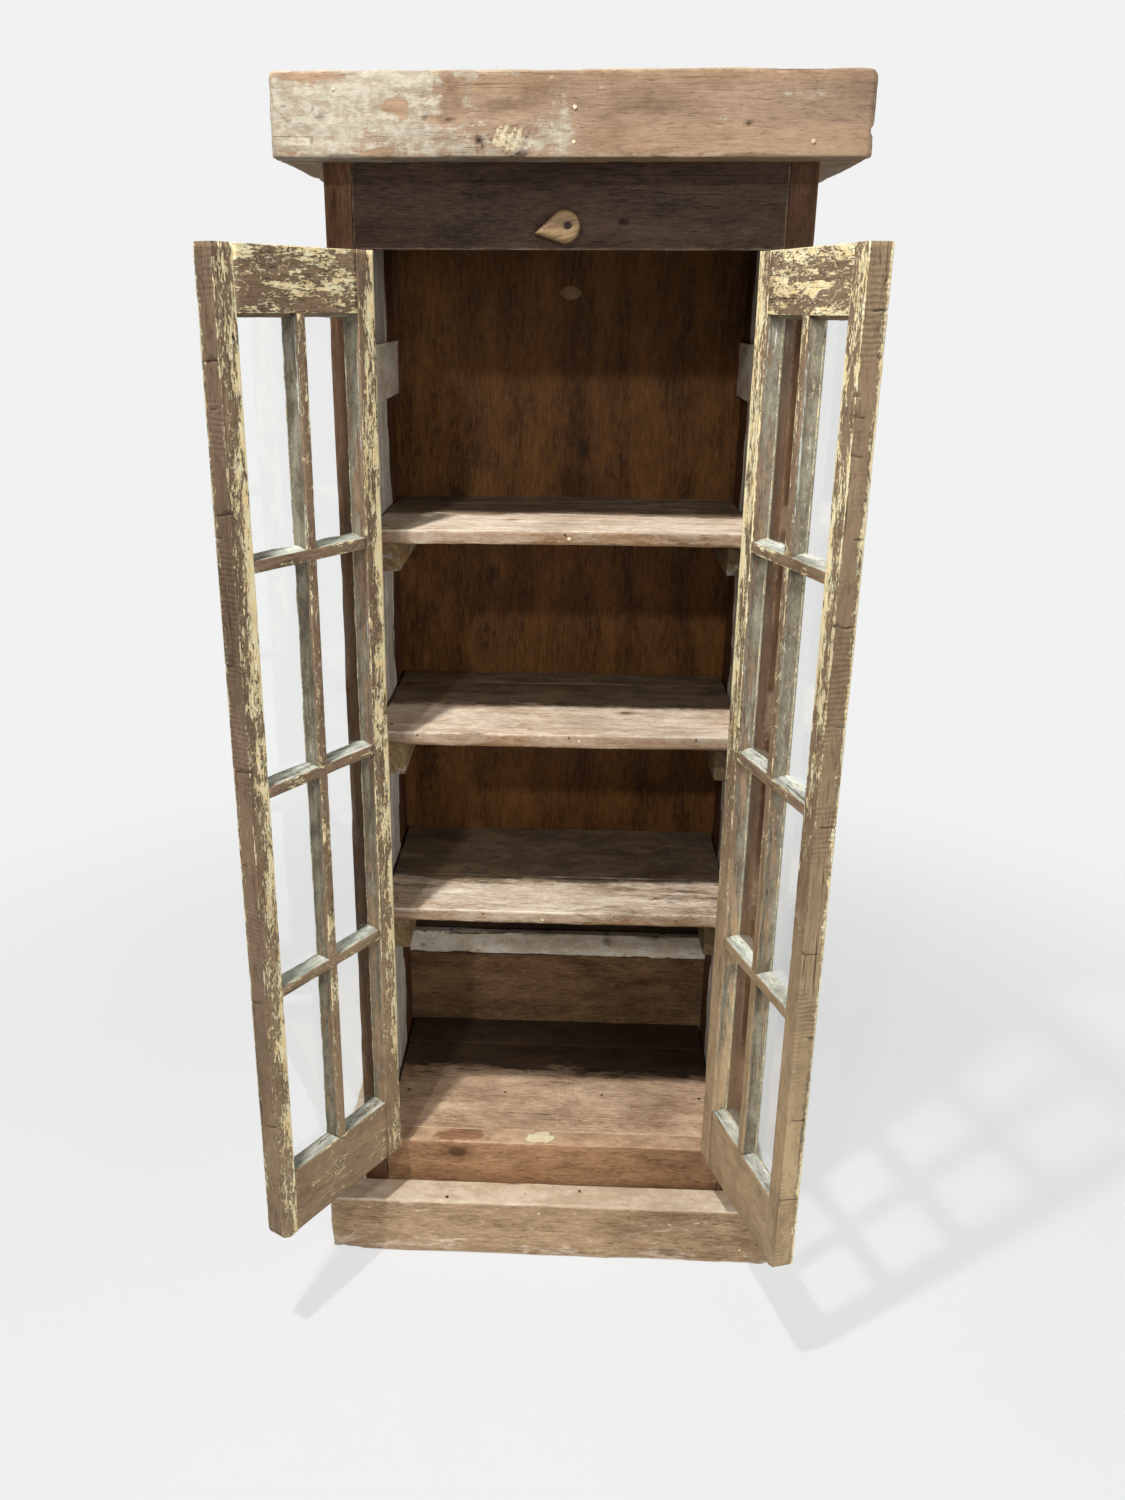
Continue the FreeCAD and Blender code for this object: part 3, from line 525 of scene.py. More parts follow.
# A board from its lowest to its highest corner, grain along one axis, with rounded uneven arrises.
def board(name, low, high, along, look, material, paint=None):
    look = {**plainBoard, **look}
    low, high = np.array(low), np.array(high)
    size = high - low
    across, through = sorted((axis for axis in range(3) if axis != along), key=lambda axis: -size[axis])
    seed, cell = look["seed"], look["cell"]
    wear = min(look["wear"], 0.4 * size.min())
    cells = {along: look.get("longCell", cell * 1.6), across: cell, through: cell}
    ways = [stations(size[axis], cells[axis], wear) for axis in range(3)]
    grid, quads = latticeSkin([len(way) - 1 for way in ways])
    raw = np.stack([ways[axis][grid[:, axis]] for axis in range(3)], axis=1)
    place = raw[:, [along, across, through]]
    chip = between(uneven(place, (22, 60, 60), seed + 1), 0.35, 0.8) * look["chips"]
    radius = wear * np.clip(0.75 + 0.35 * uneven(place, (14, 30, 30), seed) + 1.6 * chip, 0.25, 3.0)
    radius = np.minimum(radius, 0.45 * size.min())[:, None]
    inner = np.clip(raw, radius, size - radius)
    normal = (raw - inner) / np.maximum(np.linalg.norm(raw - inner, axis=1), 1e-9)[:, None]
    lift = uneven(place, (9, 55, 55), seed + 2) + 0.6 * uneven(place, (30, 160, 160), seed + 3) - 0.8
    lift *= look["rough"]
    lift -= look["dents"] * between(uneven(place, (26, 40, 40), seed + 4), 0.45, 0.85)
    warped, knot, dark = place.copy(), np.full(len(place), 3.0), np.zeros(len(place))
    for spot, height, girth in look["knots"]:
        span = np.hypot((place[:, 0] - spot) / 1.5, place[:, 1] - height) / girth
        span *= 1 + 0.12 * uneven(place, 55, seed + 5)
        knot = np.minimum(knot, span)
        warped[:, 1] += np.sign(place[:, 1] - height) * girth * 0.9 * np.exp(-span ** 2)
        lift += 0.0006 * np.exp(-(span * 1.2) ** 2) - 0.0009 * np.exp(-((span - 1) * 5) ** 2)
    for spot, height, reachLong, reachWide, depth in look["gouges"]:
        span = np.hypot((place[:, 0] - spot) / reachLong, (place[:, 1] - height) / reachWide)
        hollow = np.exp(-(span * (1 + 0.35 * uneven(place, 90, seed + 6))) ** 2 * 2)
        lift -= depth * hollow * (1 + 0.5 * uneven(place, (60, 220, 220), seed + 7))
        dark = np.maximum(dark, 0.7 * between(hollow, 0.55, 1.0) * (depth > 0.0015))
    points = inner + normal * radius + normal * lift[:, None]
    points[:, through] += look["bow"] * np.sin(np.pi * place[:, 0] / size[along])
    if "shape" in look:
        points = look["shape"](points, place, size, through)
    spread = np.sort(np.minimum(raw, size - raw), axis=1)[:, 1]  # how far from the nearest arris
    worn = np.exp(-(spread / (wear * 2.2)) ** 1.5)
    values = {"timber": warped + grainStart(seed), "knot": knot, "worn": worn, "dark": dark}
    values.update(paint(raw + low, place, worn) if paint else {})
    return makeMesh(name, points + low, quads, values, material)


# Wears a front board round at its ends: "front" is the radius seen from above, "top" that of the top corners.
def roundEnds(front, top=0.0):
    def shape(points, place, size, through):
        for end, inward in ((0, 1), (size[0], -1)):
            for axis, reach, start, into in ((1, front, 0, 1), (2, top, size[2], -1)):
                away = np.abs(points[:, 0] - end) - reach
                deep = np.abs(points[:, axis] - start) - reach
                near = (away < 0) & (deep < 0)
                share = np.maximum(np.abs(away), np.abs(deep)) / np.maximum(np.hypot(away, deep), 1e-9)
                points[near, 0] = (end + inward * (reach + away * share))[near]
                points[near, axis] = (start + into * (reach + deep * share))[near]
        return points
    return shape


def nodeBox(node):
    low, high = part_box(node)
    return np.array(low), np.array(high)


def nodeBoard(node, along, look, paint=None):
    dress(board(node + "_timber", *nodeBox(node), along, look, materials[slotOf[node]], paint), node)


# Paint: each function gives how much of a coat, of dirt, of painted shade or of a tint a point of the board
# has.
def steady(amount):
    return lambda spots, place, worn: {"cover": np.full(len(spots), amount)}


# Ragged marks. Each has its place across and up, its half width and half height.
def marksAt(spots, marks, seed=30):
    total = np.zeros(len(spots))
    for number, (x, z, wide, high) in enumerate(marks):
        reach = np.hypot((spots[:, 0] - x) / wide, (spots[:, 2] - z) / high)
        reach *= 1 + 0.35 * uneven(spots, 70, seed + number) + 0.35 * uneven(spots, 210, seed + number + 40)
        total = np.maximum(total, 1 - between(reach, 0.55, 1.25))
    return total


# Cornice: thin sage paint to the left of the middle, bare wood to the right.
corniceMarks = {
    "bare": [(-0.149, 1.826, 0.016, 0.025), (-0.068, 1.839, 0.064, 0.011), (-0.335, 1.848, 0.050, 0.006),
             (-0.16, 1.798, 0.030, 0.007), (-0.25, 1.760, 0.020, 0.006), (-0.22, 1.812, 0.018, 0.010),
             (-0.074, 1.8135, 0.036, 0.007)],
    "deep": [(-0.074, 1.8135, 0.036, 0.007), (-0.149, 1.822, 0.012, 0.016), (0.227, 1.793, 0.006, 0.005),
             (-0.16, 1.799, 0.012, 0.004)],
    "knot": [(-0.079, 1.775, 0.029, 0.017)],
    "cream": [(-0.172, 1.849, 0.007, 0.007), (-0.0145, 1.817, 0.012, 0.009), (-0.115, 1.793, 0.018, 0.006),
              (-0.160, 1.781, 0.024, 0.005), (-0.021, 1.844, 0.010, 0.005), (-0.02, 1.79, 0.018, 0.010)],
    "pits": [(-0.116, 1.775, 0.0045, 0.008), (-0.111, 1.768, 0.004, 0.006), (-0.116, 1.775, 0.003, 0.005),
             (-0.058, 1.759, 0.007, 0.004), (-0.185, 1.7995, 0.005, 0.002), (-0.150, 1.797, 0.006, 0.002),
             (-0.319, 1.800, 0.006, 0.002), (-0.328, 1.811, 0.002, 0.004), (-0.365, 1.8135, 0.004, 0.0015),
             (-0.330, 1.773, 0.0015, 0.005), (0.226, 1.7925, 0.003, 0.002), (-0.118, 1.762, 0.002, 0.003)],
    "chalk": [(0.075, 1.815, 0.016, 0.006), (0.30, 1.826, 0.045, 0.006), (0.035, 1.835, 0.02, 0.004),
              (0.17, 1.798, 0.03, 0.003)],
}


def cornicePaint(spots, place, worn):
    x, z = spots[:, 0], spots[:, 2]
    marks = {key: marksAt(spots, corniceMarks[key], seed) for key, seed in (
        ("bare", 30), ("deep", 70), ("knot", 60), ("cream", 61), ("pits", 80), ("chalk", 90))}
    ragged = 0.03 * uneven(spots, 14, 3) + 0.02 * uneven(spots, 40, 4)
    cover = 0.61 + 0.22 * uneven(spots, (12, 12, 20), 5) - 0.09 * between(x, -0.24, -0.1)
    cover *= between(0.014 + ragged - x, -0.02, 0.03)
    cover = np.maximum(cover, 0.10 + 0.06 * uneven(spots, (7, 7, 40), 6))
    cover = np.maximum(cover * (1 - 0.85 * marks["bare"] - 0.15 * worn), 0.42 * marks["chalk"])
    knot = marks["knot"]
    knotX, knotZ = corniceMarks["knot"][0][:2]
    slant = x - knotX - 0.5 * (z - knotZ)
    strokes = knot * (0.78 + 0.16 * np.sin(640 * slant + 2.2 * uneven(spots, 60, 8)))
    fresh = 0.06 + 0.30 * marks["cream"] + 0.62 * strokes + 0.34 * worn * (z > 1.84)
    strip = 1.789 + 0.004 * uneven(spots, (11, 1, 1), 14)
    under = 1 - between(z, strip - 0.002, strip + 0.004)
    warm = between(x, -0.02, 0.05) * 0.22 * under + 0.22 * marks["bare"]
    warm += 0.3 * between(x, -0.05, 0.1) * between(z, 1.838, 1.846)
    dark = 0.30 * marks["deep"] + 0.55 * marks["pits"] + 0.35 * np.exp(-((knot - 0.35) / 0.16) ** 2)
    end = 0.14 * between(x, 0.22, 0.36) * between(z, strip, strip + 0.01)
    dark += 0.30 * (1 - between(z, 1.756, 1.760)) + end
    return {"cover": np.clip(cover, 0, 1), "fresh": fresh, "dark": np.clip(dark, 0, 0.95),
            "warm": np.clip(warm, 0, 1)}


def corniceEnds(spots, place, worn):
    return {"cover": 0.30 + 0.2 * uneven(spots, (12, 12, 20), 5), "fresh": 0.1 + 0.3 * worn,
            "warm": np.full(len(spots), 0.2)}


cornice = dict(rough=0.0006, dents=0.0012)
nodeBoard("cornice_front", 0, dict(
    seed=11, wear=0.0028, cell=0.0026, longCell=0.003, shape=roundEnds(0.010, 0.009), **cornice,
    gouges=[(0.270, 0.018, 0.005, 0.011, 0.004), (0.235, 0.043, 0.008, 0.003, 0.0016),
            (0.199, 0.045, 0.006, 0.003, 0.0015), (0.067, 0.046, 0.008, 0.003, 0.0014),
            (0.056, 0.056, 0.003, 0.006, 0.0014), (0.610, 0.038, 0.004, 0.003, 0.002),
            (0.767, 0.030, 0.004, 0.006, 0.004), (0.310, 0.003, 0.006, 0.004, 0.003)]), cornicePaint)
for side, seed in (("left", 13), ("right", 15)):
    look = dict(seed=seed, wear=0.0035, knots=[(0.15, 0.06, 0.010)], **cornice)
    nodeBoard("cornice_" + side, 1, look, corniceEnds)
nodeBoard("top_sheet", 0, dict(seed=17, cell=0.012, wear=0.0015))
print("cornice done")

# Plinth: rubbed bare wood, lighter on its top where feet and brooms have been.
plinthMarks = {"grain": [(-0.044, 0.056, 0.026, 0.018), (0.20, 0.085, 0.05, 0.012)],
               "dark": [(0.20, 0.020, 0.03, 0.008)]}


def plinthPaint(spots, place, worn):
    z = spots[:, 2]
    top = between(z, 0.1045, 0.109)
    swirl = 0.2 * marksAt(spots, plinthMarks["grain"]) * between(uneven(spots, 60, 9), -0.1, 0.3)
    dark = 0.30 * marksAt(spots, plinthMarks["dark"], 50) + 0.22 * between(0.012 - z, -0.008, 0.008)
    low = 0.2 * between(0.035 - z, -0.02, 0.02)
    return {"cover": 0.24 + 0.46 * top + swirl + low, "dark": dark, "warm": 0.9 * top}


plinth = dict(rough=0.0007, dents=0.0014)
nodeBoard("plinth_front", 0, dict(
    seed=21, wear=0.0042, cell=0.003, longCell=0.004, shape=roundEnds(0.012), **plinth,
    gouges=[(0.006, 0.012, 0.012, 0.012, 0.006), (0.62, 0.006, 0.04, 0.005, 0.003),
            (0.03, 0.003, 0.03, 0.006, 0.004)]), plinthPaint)
for side, seed in (("left", 23), ("right", 25)):
    look = dict(seed=seed, wear=0.004, knots=[(0.22, 0.05, 0.012)], **plinth)
    nodeBoard("plinth_" + side, 1, look, plinthPaint)
nodeBoard("plinth_bearer", 0, dict(seed=27, cell=0.02, wear=0.002), plinthPaint)
print("plinth done")

# Carcass frame.
posts = {"front_post_left": 31, "front_post_right": 33, "back_post_left": 35, "back_post_right": 37}
whitewash = dict(edge=0.134, wander=0.024, shaded=0.5)


# The whitewash of the side walls runs out in a wavy line on the back posts.
# The left posts' inner faces are darkened at the top as painted shade, as is the left wall. The right posts
# are darker towards their top.
def postPaint(spots, place, worn):
    x, y, z = spots.T
    reach = whitewash["edge"] + whitewash["wander"] * uneven(spots, (0.1, 0.1, 9), 12)
    reach += 0.005 * uneven(spots, (0.1, 0.1, 40), 13)
    inside = (np.abs(x) < 0.297) & (y > -0.17)
    dark = between(z, 1.5, 1.6) * (0.42 * between(x, 0.2, 0.3) + whitewash["shaded"] * inside * (x < 0))
    return {"cover": np.where(inside, 0.9 * between(reach - y, -0.001, 0.003), 0.08), "dark": dark}


for node, seed in posts.items():
    knots = [(0.52 + 0.013 * seed, 0.03, 0.008), (1.30 - 0.006 * seed, 0.025, 0.006)]
    cell = 0.0035 if "back" in node else 0.007
    nodeBoard(node, 2, dict(seed=seed, wear=0.0018, cell=cell, longCell=0.010, knots=knots), postPaint)
# Two stains lie on the top of the rail where the door step is: one pale, one red.
railMarks = {"pale": (-0.022, -0.160, 0.024, 0.015), "red": (-0.160, -0.158, 0.046, 0.017)}


def railPaint(spots, place, worn):
    top = between(spots[:, 2], 0.190, 0.1935)
    stains = []
    for x, y, wide, deep in railMarks.values():
        reach = np.hypot((spots[:, 0] - x) / wide, (spots[:, 1] - y) / deep)
        reach *= 1 + 0.5 * uneven(spots, 90, 3)
        stains.append(top * (1 - between(reach, 0.7, 1.2)))
    pale, red = stains
    low = 0.35 * (1 - between(spots[:, 2], 0.112, 0.135)) + 0.35 * between(spots[:, 0], 0.12, 0.28)
    return {"fresh": pale, "warm": 0.36 * red, "dark": (1 - top) * low, "cover": 0.75 * top * (1 - red)}


def headerPaint(spots, place, worn):
    mark = marksAt(spots, [(0.076, 1.682, 0.009, 0.004)])
    return {"dark": 0.9 * mark - 0.1 * between(spots[:, 0], 0.1, 0.3)}


nodeBoard("header_board", 0, dict(
    seed=41, wear=0.0014, cell=0.004, longCell=0.005, rough=0.0005, dents=0.001, knots=[(0.42, 0.12, 0.009)],
    gouges=[(0.368, 0.0355, 0.007, 0.003, 0.0022), (0.352, 0.034, 0.010, 0.0015, 0.0016)]), headerPaint)
nodeBoard("bottom_rail", 0, dict(
    seed=43, cell=0.005, rough=0.0006, dents=0.0012, knots=[(0.127, 0.171, 0.0125)],
    gouges=[(0.133, 0.168, 0.009, 0.004, 0.002)]), railPaint)
# Side panels of old painted boards. The seams between them are cut into the face.
sidePanel = dict(boardWidth=0.079, seamWidth=0.0035, seamDepth=0.003)


def seams(points, place, size, through):
    half = sidePanel["boardWidth"] / 2
    beside = np.abs((place[:, 1] + half) % (2 * half) - half)
    depth = sidePanel["seamDepth"] * np.exp(-(beside / sidePanel["seamWidth"]) ** 2) * (place[:, 1] > 0.02)
    points[:, through] += np.where(points[:, through] > size[through] / 2, -depth, depth)
    return points


# The left wall's inner face is darkened high in the top bay: painted shade.
def panelPaint(spots, place, worn):
    x, z = spots[:, 0], spots[:, 2]
    inside = np.abs(x) < 0.305
    return {"cover": np.where(inside, 0.90, 0.42) + 0.10 * uneven(spots, (1, 9, 3), 8),
            "dark": whitewash["shaded"] * inside * (x < 0) * between(z, 1.42, 1.50)}


for side, seed in (("left", 51), ("right", 53)):
    nodeBoard("side_panel_" + side, 2, dict(seed=seed, cell=0.0045, longCell=0.014, wear=0.0015, shape=seams,
                                            knots=[(0.7, 0.12, 0.012)]), panelPaint)
    nodeBoard("spare_batten_" + side, 1, dict(seed=seed + 1, wear=0.0012), steady(0.93))
print("carcass done")

# Shelves: two old planks each, with the joint open a little and the front edge left as the saw made it.
shelfJoint = 0.0012
shelves = {
    "upper": dict(seed=61, bow=0.0015, bare=0.06, sootAndShade=0.72, split=0.296, knots=[(0.21, 0.10, 0.007)]),
    "middle": dict(seed=65, bow=-0.0012, bare=0.05, sootAndShade=0.95, split=0.2835, knots=[(0.40, 0.12, 0.009)]),
    "lower": dict(seed=69, bow=-0.001, bare=0.36, sootAndShade=0.95, split=0.136,
                  knots=[(0.15, 0.16, 0.008), (0.46, 0.06, 0.005)])}


# The back of each shelf and its underside take the dark coat as painted shade. The sawn front is darkened,
# partly its own tone and partly painted shade.
def shelfPaint(bare, sootAndShade):
    def paint(spots, place, worn):
        y, up = spots[:, 1], place[:, 2]
        edge = (1 - between(y, -0.1300, -0.1280)) * (1 - 0.8 * between(up, 0.0180, 0.0205))
        under = 1 - between(up, 0.002, 0.006)
        cover = bare + sootAndShade * between(y, -0.03, 0.06) + (0.34 - bare) * edge + 0.3 * under
        return {"cover": np.clip(cover, 0, 1), "sawn": 0.1 + 0.3 * edge,
                "dark": edge * (0.56 + 0.14 * uneven(spots, (14, 1, 60), 19))}
    return paint


# All cleats are darkened, the right ones much more, as painted shade under the shelves.
def cleatPaint(spots, place, worn):
    return {"cover": 0.30 + 0.1 * worn, "dark": np.where(spots[:, 0] > 0, 0.76, 0.30)}


for level, plank in shelves.items():
    node = level + "_shelf_board"
    low, high = nodeBox(node)
    split = low[1] + plank["split"]
    look = dict(cell=0.0055, longCell=0.008, wear=0.0011, bow=plank["bow"], chips=0.7)
    pieces = []
    for part, near, far, seed, knots in (("front", low[1], split, plank["seed"], plank["knots"]),
                                         ("back", split + shelfJoint, high[1], plank["seed"] + 1, [])):
        pieces.append(board(f"{node}_{part}_plank", (low[0], near, low[2]), (high[0], far, high[2]), 0,
                            dict(look, seed=seed, knots=knots), materials["shelf_wood"],
                            shelfPaint(plank["bare"], plank["sootAndShade"])))
    for piece in pieces:
        dress(piece, node)
    for side in ("left", "right"):
        nodeBoard(f"{level}_shelf_cleat_{side}", 1, dict(seed=plank["seed"] + 2, wear=0.0018), cleatPaint)


# The back of the bottom board takes the dark coat and darkening as painted shade, deeper towards the right.
def floorPaint(spots, place, worn):
    deep = between(spots[:, 1], -0.01, 0.10)
    return {"sawn": 0.6 * between(spots[:, 1], -0.16, -0.05), "cover": np.clip(0.10 + 0.85 * deep, 0, 1),
            "dark": deep * (0.38 + 0.34 * between(spots[:, 0], -0.05, 0.25))}


nodeBoard("bottom_board_front", 0, dict(
    seed=73, cell=0.004, longCell=0.006, wear=0.002, rough=0.0005, dents=0.001,
    knots=[(0.40, 0.20, 0.009)]), floorPaint)
nodeBoard("bottom_board_back", 0, dict(seed=75, cell=0.007, wear=0.002), floorPaint)
print("shelves done")

# Back: plywood with a patch let in, the painted rail and the boards below.
railSpots = [(0.100, 0.381, 0.010, 0.010), (-0.270, 0.361, 0.006, 0.005), (-0.159, 0.351, 0.005, 0.004),
             (0.137, 0.351, 0.004, 0.004), (-0.02, 0.392, 0.02, 0.003), (0.18, 0.390, 0.03, 0.003),
             (-0.20, 0.391, 0.03, 0.003)]


# The plywood is near black low down behind the lowest shelf and darker towards the top: both painted shade.
def plywoodPaint(spots, place, worn):
    z = spots[:, 2]
    return {"dark": 0.95 * (1 - between(z, 0.44, 0.5)) + 0.25 * between(z, 1.3, 1.6)}


def backRailPaint(spots, place, worn):
    return {"cover": 0.90 - 0.3 * worn, "dark": 0.5 * marksAt(spots, railSpots)}


# The strip's front is painted near black: painted shade in the gap behind the lowest shelf.
def stripPaint(spots, place, worn):
    return {"dark": 0.97 * (1 - between(spots[:, 1], 0.236, 0.248))}


nodeBoard("back_plywood", 2, dict(
    seed=81, cell=0.008, longCell=0.016, wear=0.0008, rough=0.0002, dents=0.0,
    knots=[(0.92, 0.36, 0.010), (0.70, 0.20, 0.008)]), plywoodPaint)
nodeBoard("back_rail", 0, dict(
    seed=83, cell=0.004, longCell=0.004, wear=0.003, rough=0.0008, chips=2.0), backRailPaint)
nodeBoard("back_lower_board", 0, dict(seed=85, cell=0.008, wear=0.0015, rough=0.0006))
nodeBoard("back_strip", 0, dict(seed=87, cell=0.008, wear=0.001), stripPaint)

patch = dict(middle=(0.004, 1.597), half=(0.020, 0.0115), proud=0.0004, count=24)


def plywoodPatch():
    front = nodeBox("back_plywood")[0][1]
    count = patch["count"]
    points = []
    for share, lift in ((1.0, -0.0006), (1.0, 0.6), (0.93, 1.0), (0.45, 1.0), (0.08, 1.0)):
        for step in range(count):
            turn = 2 * math.pi * step / count
            across = math.cos(turn) * patch["half"][0] * share
            bulge = (1 - (across / patch["half"][0]) ** 2) * patch["half"][1] * share
            points.append((patch["middle"][0] + across, front - patch["proud"] * lift,
                           patch["middle"][1] + math.copysign(bulge, math.sin(turn))))
    points = np.array(points)
    plain = np.zeros(len(points))
    values = {"timber": points[:, [2, 0, 1]] + 2.2, "knot": plain + 3.0, "worn": plain,
              "dark": np.where(np.arange(len(points)) < 2 * count, 0.7, 0.0)}
    quads = ringQuads(5, count) + [tuple(range(4 * count, 5 * count))]
    piece = tidyNormals(makeMesh("back_plywood_patch", points, quads, values, materials["top_wood"]))
    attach(piece, "carcass")


plywoodPatch()
print("back done")

# Sash doors. Sizes are metres from the hinge pin: across the door, and deep from its outer face inwards. Rails
# and bars stand back from the inner face of the stiles by "setBack" and go under their edge by "lap".
sash = dict(leftTurn=121.9, rightTurn=106.9, width=0.289, hingeEdge=0.0005, outer=0.005, inner=0.037,
            ledge=0.015, slope=0.029, stile=0.035, topRail=0.080, bottomRail=0.110, bar=0.016, sticking=0.005,
            rebate=0.008, arris=0.0014, roundFoot=0.016, setBack=0.0004, lap=0.0006, margin=0.003)


def doorWay(side):
    return 1 if side == "left" else -1


def onDoor(side, across, deep, height):
    turn = -doorWay(side) * math.radians(sash[side + "Turn"])
    pin = pins[side + "_door"]
    x, y = doorWay(side) * across, deep
    return np.stack([x * math.cos(turn) - y * math.sin(turn) + pin[0],
                     x * math.sin(turn) + y * math.cos(turn) + pin[1], height], axis=-1)


# Closed outline of a section, its corners rounded, with points about every step.
def sampledOutline(corners, radii, step=0.0028):
    corners = np.array(corners)
    count = len(corners)
    outline = []
    for index in range(count):
        spot = corners[index]
        before = corners[index - 1] - spot
        after = corners[(index + 1) % count] - spot
        reach = min(radii[index], 0.45 * np.linalg.norm(before), 0.45 * np.linalg.norm(after))
        start = spot + before / np.linalg.norm(before) * reach
        end = spot + after / np.linalg.norm(after) * reach
        for share in (0.0, 0.33, 0.67, 1.0):
            outline.append((1 - share) ** 2 * start + 2 * share * (1 - share) * spot + share ** 2 * end)
        farReach = min(radii[(index + 1) % count], 0.45 * np.linalg.norm(after))
        run = np.linalg.norm(after) - reach - farReach
        pieces = int(run / step)
        for number in range(1, pieces):
            outline.append(end + after / np.linalg.norm(after) * run * number / pieces)
    return np.array(outline)


# One moulded edge, from the tongue at the rebate to the inner face. Each corner has its radius.
def edgeCorners(base, way, face, sink=0.0):
    tongue = base + way * (face + sash["sticking"] - sash["rebate"])
    flare = base + way * (face + sash["sticking"])
    nose = base + way * face
    outer, inner, ledge, slope = (sash[key] for key in ("outer", "inner", "ledge", "slope"))
    small, full = 0.0005, sash["arris"]
    return [((tongue, outer), full), ((tongue, ledge), small), ((flare, ledge), small),
            ((flare, ledge + 0.002), 0.0012), ((nose + way * 0.0042, ledge + 0.0075), 0.004),
            ((nose + way * 0.0014, slope - 0.002), 0.0012), ((nose, slope - 0.001), 0.0008),
            ((nose, inner - sink), full)]


def memberCorners(base, way, face, sink=0.0):
    back = sash["arris"] * 1.3
    outside = [((base, sash["inner"] - sink), back), ((base, sash["outer"]), back)]
    return edgeCorners(base, way, face, sink) + outside


def barCorners(middle, sink=0.0):
    right, left = (edgeCorners(middle, way, sash["bar"] / 2, sink) for way in (1, -1))
    return right + left[::-1]


# A moulded member of a door: its section drawn along from start to end.
def member(node, side, upright, corners, start, end, seed, cover, notches=(), dents=(), base=None):
    outline = sampledOutline(*zip(*corners))
    extra = [spot + shift for spot, *rest in notches for shift in (-0.0022, -0.0009, 0, 0.0009, 0.0022)]
    steps = max(4, round((end - start) / 0.007))
    spans = np.unique(np.clip([*np.linspace(start, end, steps), *extra], start, end))
    spans = spans[np.concatenate([[True], np.diff(spans) > 0.0002])]
    spans[-1] = end
    rings, count = len(spans), len(outline)
    ahead = np.roll(outline, -1, axis=0) - np.roll(outline, 1, axis=0)
    normal = np.stack([ahead[:, 1], -ahead[:, 0]], axis=1)
    normal /= np.maximum(np.linalg.norm(normal, axis=1), 1e-9)[:, None]
    following = np.roll(outline, -1, axis=0)
    area = 0.5 * np.sum(outline[:, 0] * following[:, 1] - following[:, 0] * outline[:, 1])
    normal *= math.copysign(1, area)
    run, section = np.repeat(spans, count), np.tile(outline, (rings, 1))
    place = np.column_stack([run, section])
    bend = np.linalg.norm(np.roll(normal, -1, axis=0) - np.roll(normal, 1, axis=0), axis=1)
    convex = np.cross(np.roll(normal, 1, axis=0), np.roll(normal, -1, axis=0)) * math.copysign(1, area)
    arris = np.tile(np.clip(bend, 0, 1.4) / 1.4 * (convex > 0), rings)
    chip = between(uneven(place, (40, 70, 70), seed + 1), 0.30, 0.75) * arris
    lift = 0.00030 * uneven(place, (12, 120, 120), seed + 2)
    lift += 0.00018 * uneven(place, (45, 320, 320), seed + 3)
    lift = lift - 0.0003 - 0.0011 * chip
    dark = np.zeros(len(place))
    for spot, depth, near, far in notches:
        track = spot + 0.0014 * uneven(place, (30, 90, 90), seed + 8) + 0.12 * (section[:, 1] - 0.02)
        gap = np.exp(-((run - track) / 0.0009) ** 2) * np.exp(-(np.abs(section[:, 0] - base) / 0.006) ** 2)
        begun, ended = (between(section[:, 1], limit - 0.002, limit + 0.002) for limit in (near, far))
        gap *= begun * (1 - ended)
        lift -= depth * gap
        dark = np.maximum(dark, 0.9 * gap)
    for spot, middle, reach in dents:
        hole = np.exp(-(np.hypot(run - spot, (section[:, 1] - middle) * 1.4) / reach) ** 2)
        hole *= np.exp(-(np.abs(section[:, 0] - base) / 0.004) ** 2)
        lift -= 0.4 * reach * hole
        dark = np.maximum(dark, 0.75 * between(hole, 0.3, 0.9))
    section = section + np.tile(normal, (rings, 1)) * lift[:, None]
    if base is not None:  # the free foot of the stile is worn round
        foot, away = sash["roundFoot"], run - start
        inset = np.where(away < foot, foot - np.sqrt(np.maximum(foot ** 2 - (foot - away) ** 2, 0)), 0)
        width = abs(section[:, 0] - base)
        inward = math.copysign(1, np.mean(outline[:, 0]) - base)
        section[:, 0] += inward * inset * np.clip(1 - width / 0.035, 0, 1)
    quads = ringQuads(rings, count) + [tuple(range(count)), tuple(range((rings - 1) * count, rings * count))]
    across, height = (section[:, 0], run) if upright else (run, section[:, 0])
    points = onDoor(side, across, section[:, 1], height)
    values = {"timber": place + grainStart(seed), "knot": np.full(len(place), 3.0),
              "worn": arris, "dark": dark}
    paint = cover(run, section, arris)
    values.update(paint, dark=np.maximum(dark, paint["dark"]))
    dress(tidyNormals(makeMesh(node + "_timber", points, quads, values, materials["sash_paint"])), node)
